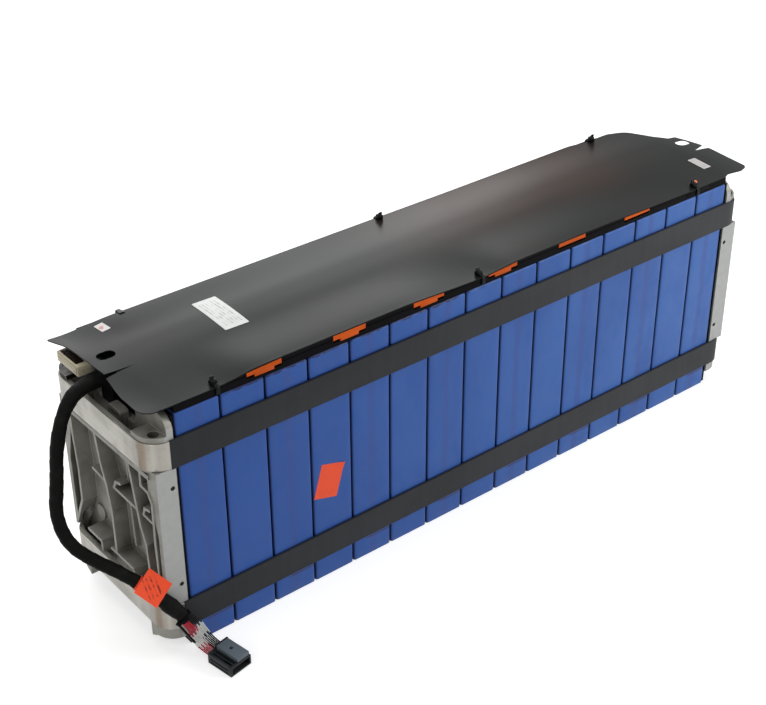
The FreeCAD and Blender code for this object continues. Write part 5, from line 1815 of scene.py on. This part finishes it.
@dataclass(frozen=True)
class CellRow:
    """Fifteen film-wrapped cans in a row, one shape repeated by Geometry Nodes."""

    count: int = 15
    pitch: float = 37.0 * MM
    thick: float = 36.7 * MM
    depth: float = 130.4 * MM
    height: float = 201.0 * MM
    corner: float = 2.4 * MM
    foot_edge: float = 0.4 * MM
    lid_edge: float = 2.3 * MM
    rings: int = 28
    crumple: float = 0.18 * MM
    crumple_scale: float = 42.0
    seed: int = 7

    def can(self) -> Piece:
        """One wrapped can at the origin, with rounded upright and lid edges.

        Returns:
            The can.
        """
        rings = []
        turns = [math.radians(15 * step) for step in range(7)]
        arc = [(1 - math.sin(turn), 1 - math.cos(turn)) for turn in turns]
        rows = [(self.foot_edge * a, self.foot_edge * b) for a, b in arc[::2]]
        wall = self.height - self.foot_edge - self.lid_edge
        rows += [(0.0, self.foot_edge + wall * k / self.rings) for k in range(1, self.rings)]
        rows += [(self.lid_edge * a, self.height - self.lid_edge * b) for a, b in arc[::-1]]
        for inset, z in rows:
            half_x, half_y = self.thick / 2 - inset, self.depth / 2 - inset
            plan = rounded_plan(half_x, half_y, self.corner - inset * 0.6, 6, (8, 6))
            rings.append([point + Vector((0.0, 0.0, z)) for point in plan])
        shape = bmesh.new()
        loft(shape, rings)
        return make("can", shape, angle=math.radians(70))

    def build(self, wardrobe: Wardrobe) -> None:
        """Repeats the can along the stack.

        Args:
            wardrobe: Finishes.
        """
        can = self.can()
        tree = GeometryTree("cell_row")
        count = tree.given("Cell Count", "Int", self.count)
        pitch = tree.given("Cell Pitch", "Float", self.pitch)
        shape = tree.given("Can", "Object", can)
        crumple = tree.given("Crumple", "Float", self.crumple)
        seed = tree.given("Seed", "Float", float(self.seed))
        dress = tree.given("Film", "Material", wardrobe.materials[Slot.CELL_FILM])
        first = tree.times(tree.times(tree.minus(count, 1.0), pitch), -0.5)
        start = tree.node("ShaderNodeCombineXYZ", {0: first}).outputs[0]
        step = tree.node("ShaderNodeCombineXYZ", {0: pitch}).outputs[0]
        inputs = {"Count": count, "Start Location": start, "Offset": step}
        row = tree.node("GeometryNodeMeshLine", inputs, mode="OFFSET").outputs[0]
        real = tree.copies(shape, row)
        place = tree.node("GeometryNodeInputPosition").outputs[0]
        inputs = {"Vector": place, "W": seed, "Scale": self.crumple_scale, "Detail": 2.0}
        field = tree.node("ShaderNodeTexNoise", inputs, noise_dimensions="4D").outputs[0]
        sink = tree.times(field, tree.times(crumple, -1.0))
        normal = tree.node("GeometryNodeInputNormal").outputs[0]
        worked = tree.moved(real, tree.scaled(normal, sink))
        carrier = link("row_points", bpy.data.meshes.new("row_points"))
        piece = tree.run(carrier, "cell_row", worked, dress)
        bpy.data.objects.remove(can)
        names = ["cell_%02d" % (index + 1) for index in range(self.count)]
        wardrobe.enter(piece, Slot.CELL_FILM, names)


@dataclass(frozen=True)
class Castings:
    """The two ribbed end plates: smooth-shaded copies of their solids, with shallow feet."""

    foot_top: float = 20.4 * MM
    foot_share: float = 0.64
    foot_from_y: float = 46.0 * MM
    foot_blend: float = 6.0 * MM

    def foot(self, point: Vector) -> float:
        """Height of a point of the casting once its feet are drawn up.

        Args:
            point: The point on the solid.

        Returns:
            Its new height.
        """
        if point.z >= self.foot_top:
            return point.z
        share = held((abs(point.y) - self.foot_from_y) / self.foot_blend)
        return point.z + (self.foot_top - point.z) * (1.0 - self.foot_share) * share

    def build(self, wardrobe: Wardrobe) -> None:
        """Makes both plates.

        Args:
            wardrobe: Finishes.
        """
        for end in ("near", "far"):
            node = "end_plate_" + end
            shape = merged_node(node)
            for vertex in shape.verts:
                vertex.co.z = self.foot(vertex.co)
            piece = make("casting_" + end, shape, outward=False)
            wardrobe.enter(piece, Slot.CAST_METAL, [node])


@dataclass(frozen=True)
class Straps:
    """Two steel bands with rolled edges, a lap on the far face and its weld spots."""

    seat_x: float = 298.95 * MM
    seat_y: float = 65.8 * MM
    corner: float = 16.0 * MM
    thick: float = 1.0 * MM
    width: float = 22.0 * MM
    levels: tuple[tuple[str, float], ...] = (("upper", 160.0 * MM), ("lower", 20.5 * MM))
    lap: float = 34.0 * MM
    edge: float = 0.25 * MM
    weld_radius: float = 1.5 * MM
    weld_height: float = 0.18 * MM
    weld_profile: tuple[Span, ...] = ((1.0, -0.3), (1.0, 0.35), (0.8, 0.75), (0.5, 0.6), (0.2, 0.45))

    def section(self, low: float) -> list[Span]:
        """Corners of the band's section.

        Args:
            low: Height of its lower edge.

        Returns:
            Pairs of a share of the thickness and a height.
        """
        e, top = self.edge, low + self.width
        f = e / self.thick
        lower = [(0, low + e), (f, low), (1 - f, low), (1, low + e)]
        return lower + [(1, top - e), (1 - f, top), (f, top), (0, top - e)]

    def band(self, low: float) -> BMesh:
        """Closed band.

        Args:
            low: Height of its lower edge.

        Returns:
            The mesh.
        """
        columns = []
        for share, z in self.section(low):
            grow = share * self.thick
            sizes = (self.seat_x + grow, self.seat_y + grow, self.corner + grow)
            plan = rounded_plan(*sizes, 24, (10, 4))
            columns.append([point + Vector((0.0, 0.0, z)) for point in plan])
        shape = bmesh.new()
        loft(shape, [list(ring) for ring in zip(*columns)], loop=True)
        return shape

    def lap_plate(self, low: float) -> BMesh:
        """Second layer of the band on the far face.

        Args:
            low: Height of its lower edge.

        Returns:
            The mesh.
        """
        x = self.seat_x + self.thick
        half = self.lap / 2
        return bevelled_box((x, -half, low), (x + self.thick, half, low + self.width), self.edge)

    def welds(self, low: float) -> Piece:
        """Weld spots on the lap: one low dome repeated over a grid by Geometry Nodes.

        Args:
            low: Height of the band's lower edge.

        Returns:
            The spots.
        """
        dome = bmesh.new()
        rings = []
        for share, rise in self.weld_profile:
            reach, x = share * self.weld_radius, rise * self.weld_height
            rings.append([Vector((x, cos * reach, sin * reach)) for cos, sin in circle(16)])
        loft(dome, rings)
        spot = make("spot", dome, angle=math.radians(80))
        tree = GeometryTree("weld_spots")
        shape = tree.given("Spot", "Object", spot)
        columns = tree.given("Columns", "Int", 4)
        rows = tree.given("Rows", "Int", 2)
        wide = tree.given("Width", "Float", self.lap * 0.72)
        tall = tree.given("Height", "Float", self.width * 0.5)
        dress = tree.given("Finish", "Material", bpy.data.materials["strap_steel"])
        inputs = {"Size X": tall, "Size Y": wide, "Vertices X": rows, "Vertices Y": columns}
        grid = tree.node("GeometryNodeMeshGrid", inputs).outputs[0]
        middle = (self.seat_x + 2 * self.thick, 0.0, low + self.width / 2)
        inputs = {"Geometry": grid, "Translation": middle, "Rotation": (0.0, math.pi / 2, 0.0)}
        stood = tree.node("GeometryNodeTransform", inputs).outputs[0]
        carrier = link("weld_points", bpy.data.meshes.new("weld_points"))
        made = tree.run(carrier, "welds", tree.copies(shape, stood), dress)
        bpy.data.objects.remove(spot)
        return made

    def build(self, wardrobe: Wardrobe) -> None:
        """Makes both bands.

        Args:
            wardrobe: Finishes.
        """
        for level, low in self.levels:
            welds = taken(self.welds(low))
            piece = make("strap_band_" + level, gather([self.band(low), self.lap_plate(low), welds]))
            wardrobe.enter(piece, Slot.STRAP_STEEL, ["strap_" + level])


@dataclass(frozen=True)
class TopSheet:
    """Thin black sheet over the tray, with a low crown along it, and what is stuck on it."""

    face: float = 207.8 * MM
    crown: float = 2.4 * MM
    crown_y: float = 12.0 * MM
    edge_front: float = -61.0 * MM
    edge_back: float = 62.0 * MM
    end_loss: float = 0.45
    end_from: float = 0.20
    end_length: float = 0.10
    ripple: float = 0.35 * MM
    ripple_scale: Span = (14.0, 9.0)
    ripple_seed: float = 2.7
    slit_y: float = -7.0 * MM
    flap_from: float = -272.0 * MM
    flap_to: float = -300.0 * MM
    flap_front: float = -60.0 * MM
    flap_drop: float = 2.6 * MM
    step_x: float = 9.0 * MM
    step_y: float = 5.0 * MM
    label_thick: float = 0.2 * MM
    tie_x: tuple[float, ...] = (-0.242, -0.002, 0.240)
    front_rise: tuple[float, ...] = (3.1 * MM, 2.3 * MM)
    front_start: float = 0.16
    front_fall: tuple[float, ...] = (0.35, 0.55)
    bow_from: float = 0.30
    back_slope: float = 6.25 * MM
    back_rise: float = 0.45 * MM
    back_end: float = -0.288
    back_fade: float = 0.035
    dot_place: Span = (0.2465, -0.0560)
    dot_radius: float = 2.0 * MM
    dot_profile: tuple[Span, ...] = (
        (0.96, -0.05), (1.0, 0.1), (0.96, 0.8), (0.8, 1.4), (0.55, 1.8), (0.25, 2.0),
    )

    def rim_rise(self, x: float, y: float) -> float:
        """How far the sheet's edge stands off the tray's rim: it bows up between its ties.

        Args:
            x: Place along the stack.
            y: Place across it, of which only the side counts.

        Returns:
            The height in metres.
        """
        if y > 0:
            rise = max(0.0, self.back_rise - self.back_slope * x)
            return rise * held((x - self.back_end) / self.back_fade)
        spans = zip(self.tie_x, self.tie_x[1:], self.front_rise, self.front_fall)
        for start, end, rise, fall in spans:
            if start < x < end:
                share = (x - start) / (end - start)
                return rise * ease(held(share / self.front_start)) * ease(held((1.0 - share) / fall))
        return 0.0

    def lift(self, x: float, y: float) -> float:
        """How far the sheet stands above its flat solid at a place.

        Args:
            x: Place along the stack.
            y: Place across it.

        Returns:
            The height in metres, below zero only past the near end.
        """
        span = (self.edge_back if y > self.crown_y else self.edge_front) - self.crown_y
        share = held((y - self.crown_y) / span)
        rise = self.crown * (0.5 + 0.5 * math.cos(math.pi * share))
        fade = 1.0 - self.end_loss * held((abs(x) - self.end_from) / self.end_length)
        spot = Vector((x * self.ripple_scale[0], y * self.ripple_scale[1], self.ripple_seed))
        wave = self.ripple * (0.5 + 0.5 * noise.noise(spot))
        edge = 4.0 * share * (1.0 - share)
        outer = held((share - self.bow_from) / (1.0 - self.bow_from))
        rim = self.rim_rise(x, y - self.crown_y) * ease(outer)
        height = rise * fade + wave * edge + rim
        if x < self.flap_from and y < self.slit_y:
            along = min(1.0, (x - self.flap_from) / (self.flap_to - self.flap_from))
            near_slit = held((y - self.flap_front) / (self.slit_y - self.flap_front))
            height -= self.flap_drop * along * along * near_slit
        return height

    def sheet(self, wardrobe: Wardrobe) -> None:
        """Cuts the solid's sheet into a fine grid and lets it rise to its crown.

        Args:
            wardrobe: Finishes.
        """
        shape = merged_node("top_cover")
        low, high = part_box("top_cover")
        cuts = [(Axis.X, low.x, high.x, self.step_x), (Axis.Y, low.y, high.y, self.step_y)]
        for axis, start, end, step in cuts:
            count = round((end - start) / step)
            for k in range(1, count):
                slice_at(shape, axis, start + (end - start) * k / count)
        bmesh.ops.remove_doubles(shape, verts=shape.verts, dist=0.01 * MM)
        for vertex in shape.verts:
            vertex.co.z += self.lift(vertex.co.x, vertex.co.y)
        piece = make("top_sheet", shape, outward=False)
        wardrobe.enter(piece, Slot.BLACK_SHEET, ["top_cover"])

    def laid(self, name: str, middle: Span, size: Span, turn: float) -> Piece:
        """Label that follows the sheet.

        Args:
            name: Name of the piece.
            middle: Place of its middle in plan.
            size: Its length along the stack and across it.
            turn: Its turn in degrees.

        Returns:
            The piece.
        """
        steps = (8, 16)
        cos, sin = math.cos(math.radians(turn)), math.sin(math.radians(turn))

        def place(i: int, j: int) -> Point:
            """Place of one corner of the label on the sheet.

            Args:
                i: Number of the corner along the stack.
                j: Number of the corner across it.

            Returns:
                The place.
            """
            a = (i / steps[0] - 0.5) * size[0]
            b = (j / steps[1] - 0.5) * size[1]
            x = middle[0] + a * cos - b * sin
            y = middle[1] + a * sin + b * cos
            return x, y, self.face + self.lift(x, y) + 0.04 * MM

        shape, rows = patch(place, steps)
        corners = [rows[0][0], rows[-1][0], rows[-1][-1], rows[0][-1]]
        bmesh.ops.bevel(shape, geom=corners, offset=0.8 * MM, segments=3, affect="VERTICES",
                        profile=0.5)
        bmesh.ops.recalc_face_normals(shape, faces=shape.faces)
        bmesh.ops.solidify(shape, geom=shape.faces, thickness=-self.label_thick)
        return make(name, shape)

    def paint_dot(self, wardrobe: Wardrobe) -> None:
        """Thick dab of orange paint near the far front tie.

        Args:
            wardrobe: Finishes.
        """
        x, y = self.dot_place
        base = self.face + self.lift(x, y)
        shape = bmesh.new()
        rings = []
        for share, rise in self.dot_profile:
            ring = []
            for cos, sin in circle(22):
                wobble = 1.0 + 0.16 * noise.noise(Vector((cos, sin, 5.0)))
                reach = self.dot_radius * share * wobble
                ring.append(Vector((x + cos * reach, y + sin * reach, base + rise * MM)))
            rings.append(ring)
        loft(shape, rings)
        paint = Moulded("paint_dot", (0.80, 0.20, 0.075), 0.5, 0.1, 0.0, 1.3).material()
        piece = make("paint_dot", shape, angle=math.radians(70))
        wardrobe.enter(piece, Slot.ORANGE_LABEL, finish=paint)

    def build(self, wardrobe: Wardrobe) -> None:
        """Makes the sheet, its three labels and the dab of paint.

        Args:
            wardrobe: Finishes.
        """
        self.sheet(wardrobe)
        labels = (
            ("long", (-0.1871, 0.0132), (20 * MM, 47.0 * MM), -2.0, Mark.RULED,
             (0.63, 0.645, 0.63), (0.30, 0.32, 0.31)),
            ("near", (-0.2630, 0.0504), (7.4 * MM, 10.6 * MM), 6.0, Mark.SPOT,
             (0.62, 0.60, 0.58), (0.52, 0.12, 0.10)),
            ("far", (0.2776, -0.0336), (8.6 * MM, 20 * MM), -4.0, Mark.RULED,
             (0.50, 0.485, 0.475), (0.26, 0.25, 0.25)),
        )
        for word, middle, size, turn, mark, white, ink in labels:
            name = "sheet_label_" + word
            paper = LabelPaper(name, white, mark, ink, middle, size).material()
            piece = self.laid(name, middle, size, turn)
            wardrobe.enter(piece, Slot.WHITE_LABEL, ["cover_label_" + word], paper)
        self.paint_dot(wardrobe)


@dataclass(frozen=True)
class SheetTies:
    """Six nylon ties that hold the sheet: one shape repeated by Geometry Nodes."""

    places_x: tuple[float, ...] = (-242.0 * MM, -2.0 * MM, 240.0 * MM)
    rim_y: float = 64.8 * MM
    low: float = 202.4 * MM
    high: float = 209.2 * MM
    inner: float = -5.6 * MM
    outer: float = 1.4 * MM
    width: float = 3.2 * MM
    thick: float = 1.0 * MM
    corner: float = 2.2 * MM
    section: tuple[Span, ...] = (
        (-1.0, -1.0), (-0.8, -1.2), (0.8, -1.2), (1.0, -1.0),
        (1.0, 0.6), (0.7, 1.0), (-0.7, 1.0), (-1.0, 0.6),
    )
    head_y: float = -5.0 * MM
    head_low: float = 208.0 * MM
    head_high: float = 211.4 * MM
    head_half: float = 2.5 * MM
    head_taper: float = 0.88
    tail_top: float = 213.2 * MM
    lean: float = math.radians(14)
    sag: float = 2.0 * MM
    flat_from: float = 208.5 * MM
    kept: tuple[float, ...] = (0.10, 1.0, 1.25, 1.0, 1.38, 1.0)
    raised: tuple[float, ...] = (1.5 * MM, 0.0, 0.45 * MM, 0.0, 0.0, 0.0)

    def loop(self) -> BMesh:
        """Band that goes down outside the rim, in through it and up through the sheet.

        Returns:
            The mesh.
        """
        half_y = (self.outer - self.inner - self.thick) / 2
        half_z = (self.high - self.low - self.thick) / 2
        middle = Vector((0.0, (self.outer + self.inner) / 2, (self.high + self.low) / 2))
        centre = rounded_plan(half_y, half_z, self.corner, 6, (3, 3))
        count = len(centre)
        rings = []
        for k, point in enumerate(centre):
            along = (centre[(k + 1) % count] - centre[k - 1]).normalized()
            out = Vector((along.y, -along.x, 0.0))
            ring = []
            for a, b in self.section:
                flat = point + out * (b / 1.2 * self.thick / 2)
                place = middle + Vector((a * self.width / 2, flat.x, flat.y))
                outside = held((place.y + 1.0 * MM) / (2.0 * MM))
                place.z -= self.sag * outside * (self.high - place.z) / (self.high - self.low)
                ring.append(place)
            rings.append(ring)
        shape = bmesh.new()
        loft(shape, rings, loop=True)
        return shape

    def tail(self) -> BMesh:
        """Cut tail above the head, with the ratchet's teeth on one side.

        Returns:
            The mesh.
        """
        shape = bmesh.new()
        rings = []
        steps = 14
        root = self.head_low + 0.8 * MM
        for k in range(steps + 1):
            z = root + (self.tail_top - root) * k / steps
            y = self.head_y - math.tan(self.lean) * (z - self.head_low)
            tooth = (0.16 if k % 2 else 0.0) * MM
            half = self.width / 2 * (0.92 if k == steps else 1.0)
            near, back = y - 0.5 * MM, y + 0.34 * MM + tooth
            corners = ((-half, near), (half, near), (half, back), (-half, back))
            rings.append([Vector((*corner, z)) for corner in corners])
        loft(shape, rings)
        return shape

    def head(self) -> BMesh:
        """Head of the tie, narrower at its top.

        Returns:
            The mesh.
        """
        y, half = self.head_y, self.head_half
        low, high = (-half, y - half, self.head_low), (half, y + half, self.head_high)
        shape = bevelled_box(low, high, 0.7 * MM, 3)
        for vertex in shape.verts:
            if vertex.co.z > (self.head_low + self.head_high) / 2:
                vertex.co.x *= self.head_taper
                vertex.co.y = y + (vertex.co.y - y) * self.head_taper
        return shape

    def build(self, wardrobe: Wardrobe) -> None:
        """Places a tie at each slot of the sheet.

        Args:
            wardrobe: Finishes.
        """
        tie = make("tie", gather([self.loop(), self.head(), self.tail()]))
        points = bpy.data.meshes.new("tie_places")
        spots = [(x, 0.0, 0.0) for x in self.places_x for _ in range(2)]
        points.from_pydata(spots, [], [])
        turn = points.attributes.new("turn", "FLOAT", "POINT")
        turn.data.foreach_set("value", [math.pi * (k % 2) for k in range(len(spots))])
        for name, values in (("kept", self.kept), ("raised", self.raised)):
            points.attributes.new(name, "FLOAT", "POINT").data.foreach_set("value", values)
        for vertex in tie.data.vertices:
            vertex.co.y += self.rim_y
        tree = GeometryTree("tie_row")
        shape = tree.given("Tie", "Object", tie)
        dress = tree.given("Finish", "Material", wardrobe.materials[Slot.BLACK_PLASTIC])
        rotation = tree.node("ShaderNodeCombineXYZ", {2: tree.named("turn")}).outputs[0]
        real = tree.copies(shape, tree.geometry, rotation)
        level = tree.given("Flat From", "Float", self.flat_from)
        foot = tree.given("Foot", "Float", self.low)
        place = tree.node("GeometryNodeInputPosition").outputs[0]
        height = tree.node("ShaderNodeSeparateXYZ", {0: place}).outputs[2]
        over = tree.number("MAXIMUM", tree.minus(height, level), 0.0)
        cut = tree.times(over, tree.minus(tree.named("kept"), 1.0))
        share = tree.number("DIVIDE", tree.minus(height, foot), tree.minus(level, foot))
        share = tree.number("MINIMUM", tree.number("MAXIMUM", share, 0.0), 1.0)
        change = tree.plus(cut, tree.times(share, tree.named("raised")))
        offset = tree.node("ShaderNodeCombineXYZ", {2: change}).outputs[0]
        piece = tree.run(link("tie_places", points), "sheet_ties", tree.moved(real, offset), dress)
        bpy.data.objects.remove(tie)
        wardrobe.enter(piece, Slot.BLACK_PLASTIC, ["cover_ties"], wardrobe.nylon)


@dataclass(frozen=True)
class FrontLids:
    """Orange lids of the front row: stepped tabs over the rim, up to the bowed edge of the sheet."""

    sheet: TopSheet = TopSheet()
    tab_x: tuple[float, ...] = tuple((-203.5 + 74.0 * step) * MM for step in range(6))
    outer_y: float = -65.1 * MM
    upper_foot: float = 205.9 * MM
    top: float = 206.9 * MM
    tongues: int = 4
    tongue_half: float = 8.2 * MM
    tongue_low: float = 203.7 * MM
    last_x: float = 0.215
    last_y: float = -63.9 * MM

    def build(self, wardrobe: Wardrobe) -> None:
        """Makes the lids.

        Args:
            wardrobe: Finishes.
        """
        shape = merged_node("bar_caps_front")
        for vertex in shape.verts:
            if vertex.co.y > self.outer_y + 0.05 * MM:
                continue
            if vertex.co.x > self.last_x:
                vertex.co.y = self.last_y
            elif vertex.co.z < self.top - 0.1 * MM:
                vertex.co.z = self.upper_foot
            else:
                vertex.co.z += max(0.0, self.sheet.rim_rise(vertex.co.x, -1.0) - 0.15 * MM)
        tongues = []
        for x in self.tab_x[:self.tongues]:
            low = (x - self.tongue_half, self.outer_y - 0.25 * MM, self.tongue_low)
            high = (x + self.tongue_half, self.outer_y + 1.0 * MM, self.upper_foot + 0.5 * MM)
            tongues.append(bevelled_box(low, high, 0.25 * MM))
        piece = make("lids_front", gather([shape, *tongues]), outward=False)
        wardrobe.enter(piece, Slot.ORANGE_PLASTIC, ["bar_caps_front"])


@dataclass(frozen=True)
class Tray:
    """Tray under the sheet: its rim meets the bowed front edge and drops at the cut corner."""

    sheet: TopSheet = TopSheet()
    lids: FrontLids = FrontLids()
    end_x: float = 275.5 * MM
    tab_half: float = 14.7 * MM
    lip_y: Span = (-64.8 * MM, -63.9 * MM)
    lip_low: float = 206.4 * MM
    step: float = 7.0 * MM
    notch_x: Span = (226.3 * MM, 254.4 * MM)
    notch_low: float = 203.9 * MM
    drop_from: Span = (243.5 * MM, 45.0 * MM)
    drop_above: float = 203.6 * MM
    drop: float = 3.6 * MM

    def lip(self, start: float, end: float) -> BMesh:
        """Strip of the rim between two tabs, up to the underside of the sheet.

        Args:
            start: Where it starts along the stack.
            end: Where it ends.

        Returns:
            The mesh.
        """
        shape = bmesh.new()
        rings = []
        count = max(1, round((end - start) / self.step))
        for k in range(count + 1):
            x = start + (end - start) * k / count
            top = self.sheet.face - 0.5 * MM + self.sheet.rim_rise(x, -1.0)
            near, back = self.lip_y
            corners = ((near, self.lip_low), (back, self.lip_low), (back, top), (near, top))
            rings.append([Vector((x, *corner)) for corner in corners])
        loft(shape, rings)
        return shape

    def build(self, wardrobe: Wardrobe) -> None:
        """Makes the tray.

        Args:
            wardrobe: Finishes.
        """
        shape = merged_node("bus_bar_tray")
        for axis, at in zip((Axis.X, Axis.Y), self.drop_from):
            slice_at(shape, axis, at)
        from_x, from_y = (at + 0.1 * MM for at in self.drop_from)
        for vertex in shape.verts:
            place = vertex.co
            if place.x > from_x and place.y > from_y and place.z > self.drop_above:
                place.z -= self.drop
        stops = [-self.end_x]
        for x in self.lids.tab_x:
            stops += [x - self.tab_half, x + self.tab_half]
        stops.append(self.end_x)
        lips = [self.lip(start, end) for start, end in zip(stops[::2], stops[1::2])]
        (x0, x1), (y0, y1) = self.notch_x, self.lip_y
        low, high = (x0, y0 - 0.1 * MM, self.notch_low), (x1, y1 - 0.1 * MM, self.lip_low)
        lips.append(bevelled_box(low, high, 0.1 * MM))
        piece = make("tray_rim", gather([shape, *lips]), outward=False)
        wardrobe.enter(piece, Slot.BLACK_PLASTIC, ["bus_bar_tray"])


@dataclass(frozen=True)
class WireHeader:
    """Cream header with a black ribbed block in its well as painted shadow, and the wire plug pushed
    into it.
    """

    bevel: float = 0.35 * MM
    shell_bevel: float = 0.25 * MM
    outer_wall: float = 1.5 * MM
    inner_wall: float = 3.4 * MM
    front_wall: float = 4.2 * MM
    back_wall: float = 1.2 * MM
    well: float = 1.7 * MM
    rows: int = 11
    hole: tuple[Point, Point] = ((3.6 * MM, -1.0 * MM, 2.8 * MM), (5.0 * MM, 0.9 * MM, 4.2 * MM))
    latch: tuple[Point, Point] = ((-1.0 * MM, 1.6 * MM, 1.2 * MM), (1.0 * MM, 3.2 * MM, 2.8 * MM))

    def shell(self, wardrobe: Wardrobe) -> None:
        """Header's own shell: the solid's mesh with its edges eased and a well in its top.

        Args:
            wardrobe: Finishes.
        """
        shape = merged_node("board_header")
        bmesh.ops.dissolve_limit(shape, angle_limit=0.01, verts=shape.verts, edges=shape.edges)
        bmesh.ops.bevel(shape, geom=shape.edges, offset=self.shell_bevel, segments=2, profile=0.5,
                        affect="EDGES")
        low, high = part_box("board_header")
        near, far = low.x + self.outer_wall, high.x - self.inner_wall
        front, back = low.y + self.front_wall, high.y - self.back_wall
        corners = ((near, front, high.z - self.well), (far, back, high.z + 2.0 * MM))
        well = bevelled_box(*corners, 0.3 * MM)
        hole = bevelled_box(*(low + Vector(corner) for corner in self.hole), 0.1 * MM)
        body = carve(make("header_shell", shape), make("well", gather([well, hole])), "DIFFERENCE")
        wardrobe.enter(remark(body), Slot.CREAM_PLASTIC, ["board_header"])
        # painted shadow: a black ribbed block fills the well, in place of the shade under the sheet
        floor = high.z - self.well
        block = [bevelled_box((near + 0.1 * MM, front + 0.1 * MM, floor + 0.02 * MM),
                              (far - 0.1 * MM, back - 0.1 * MM, floor + 0.8 * MM), 0.2 * MM)]
        pitch = (back - front - 1.0 * MM) / self.rows
        for row in range(self.rows):
            y = front + 0.5 * MM + pitch * row
            corners = ((near + 0.9 * MM, y + 0.3 * MM, floor + 0.7 * MM),
                       (far - 0.9 * MM, y + pitch - 0.3 * MM, floor + 1.2 * MM))
            block.append(bevelled_box(*corners, 0.15 * MM))
        piece = make("header_terminals", gather(block))
        wardrobe.enter(piece, Slot.BLACK_PLASTIC, ["board_header"], wardrobe.terminal_black)

    def wire_plug(self, wardrobe: Wardrobe) -> None:
        """Wire plug with a parting groove along its face and a latch hole at its front end.

        Args:
            wardrobe: Finishes.
        """
        low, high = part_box("header_plug")
        body = make("header_wire_plug", bevelled_box(low, high, self.bevel))
        latch = bevelled_box(*(low + Vector(corner) for corner in self.latch), 0.15 * MM)
        groove = bevelled_box((low.x - 1.0 * MM, low.y + 4.4 * MM, high.z - 1.7 * MM),
                              (low.x + 0.35 * MM, high.y - 1.0 * MM, high.z - 1.3 * MM), 0.1 * MM, 1)
        body = carve(body, make("cuts", gather([latch, groove])), "DIFFERENCE")
        wardrobe.enter(remark(body), Slot.CREAM_PLASTIC, ["header_plug"])

    def build(self, wardrobe: Wardrobe) -> None:
        """Makes both halves."""
        self.shell(wardrobe)
        self.wire_plug(wardrobe)


@dataclass(frozen=True)
class CellSticker:
    """Orange label stuck askew on the fourth cell, lifting at one corner."""

    middle: Point = (-151.2 * MM, -65.2 * MM, 87.8 * MM)
    size: Span = (21.6 * MM, 29.2 * MM)
    turn: float = math.radians(-16.0)
    thick: float = 0.18 * MM
    lift: float = 0.9 * MM

    def build(self, wardrobe: Wardrobe) -> None:
        """Makes the label.

        Args:
            wardrobe: Finishes.
        """
        steps = 12
        cos, sin = math.cos(self.turn), math.sin(self.turn)

        def place(i: int, j: int) -> Point:
            """Place of one corner of the label on the cell.

            Args:
                i: Number of the corner along the label's width.
                j: Number of the corner up it.

            Returns:
                The place.
            """
            a = (i / steps - 0.5) * self.size[0]
            b = (j / steps - 0.5) * self.size[1]
            corner = max(0.0, i / steps - 0.6) / 0.4 * max(0.0, j / steps - 0.7) / 0.3
            out = 0.03 * MM + self.lift * corner * corner
            x = self.middle[0] + a * cos - b * sin
            z = self.middle[2] + a * sin + b * cos
            return x, self.middle[1] - out, z

        shape, _ = patch(place, (steps, steps))
        bmesh.ops.recalc_face_normals(shape, faces=shape.faces)
        bmesh.ops.solidify(shape, geom=shape.faces, thickness=self.thick)
        wardrobe.enter(make("cell_sticker", shape), Slot.ORANGE_LABEL, ["cell_label"])


def main() -> None:
    """Builds the studio and every sub-assembly in order."""
    logging.basicConfig(level=logging.INFO, format="%(name)s: %(message)s")
    Studio().build()
    wardrobe = Wardrobe()
    LoomSet().build(wardrobe)
    wardrobe.dress_solids()
    CellRow().build(wardrobe)
    Castings().build(wardrobe)
    Straps().build(wardrobe)
    TopSheet().build(wardrobe)
    SheetTies().build(wardrobe)
    FrontLids().build(wardrobe)
    Tray().build(wardrobe)
    WireHeader().build(wardrobe)
    CellSticker().build(wardrobe)


if __name__ == "__main__":
    main()
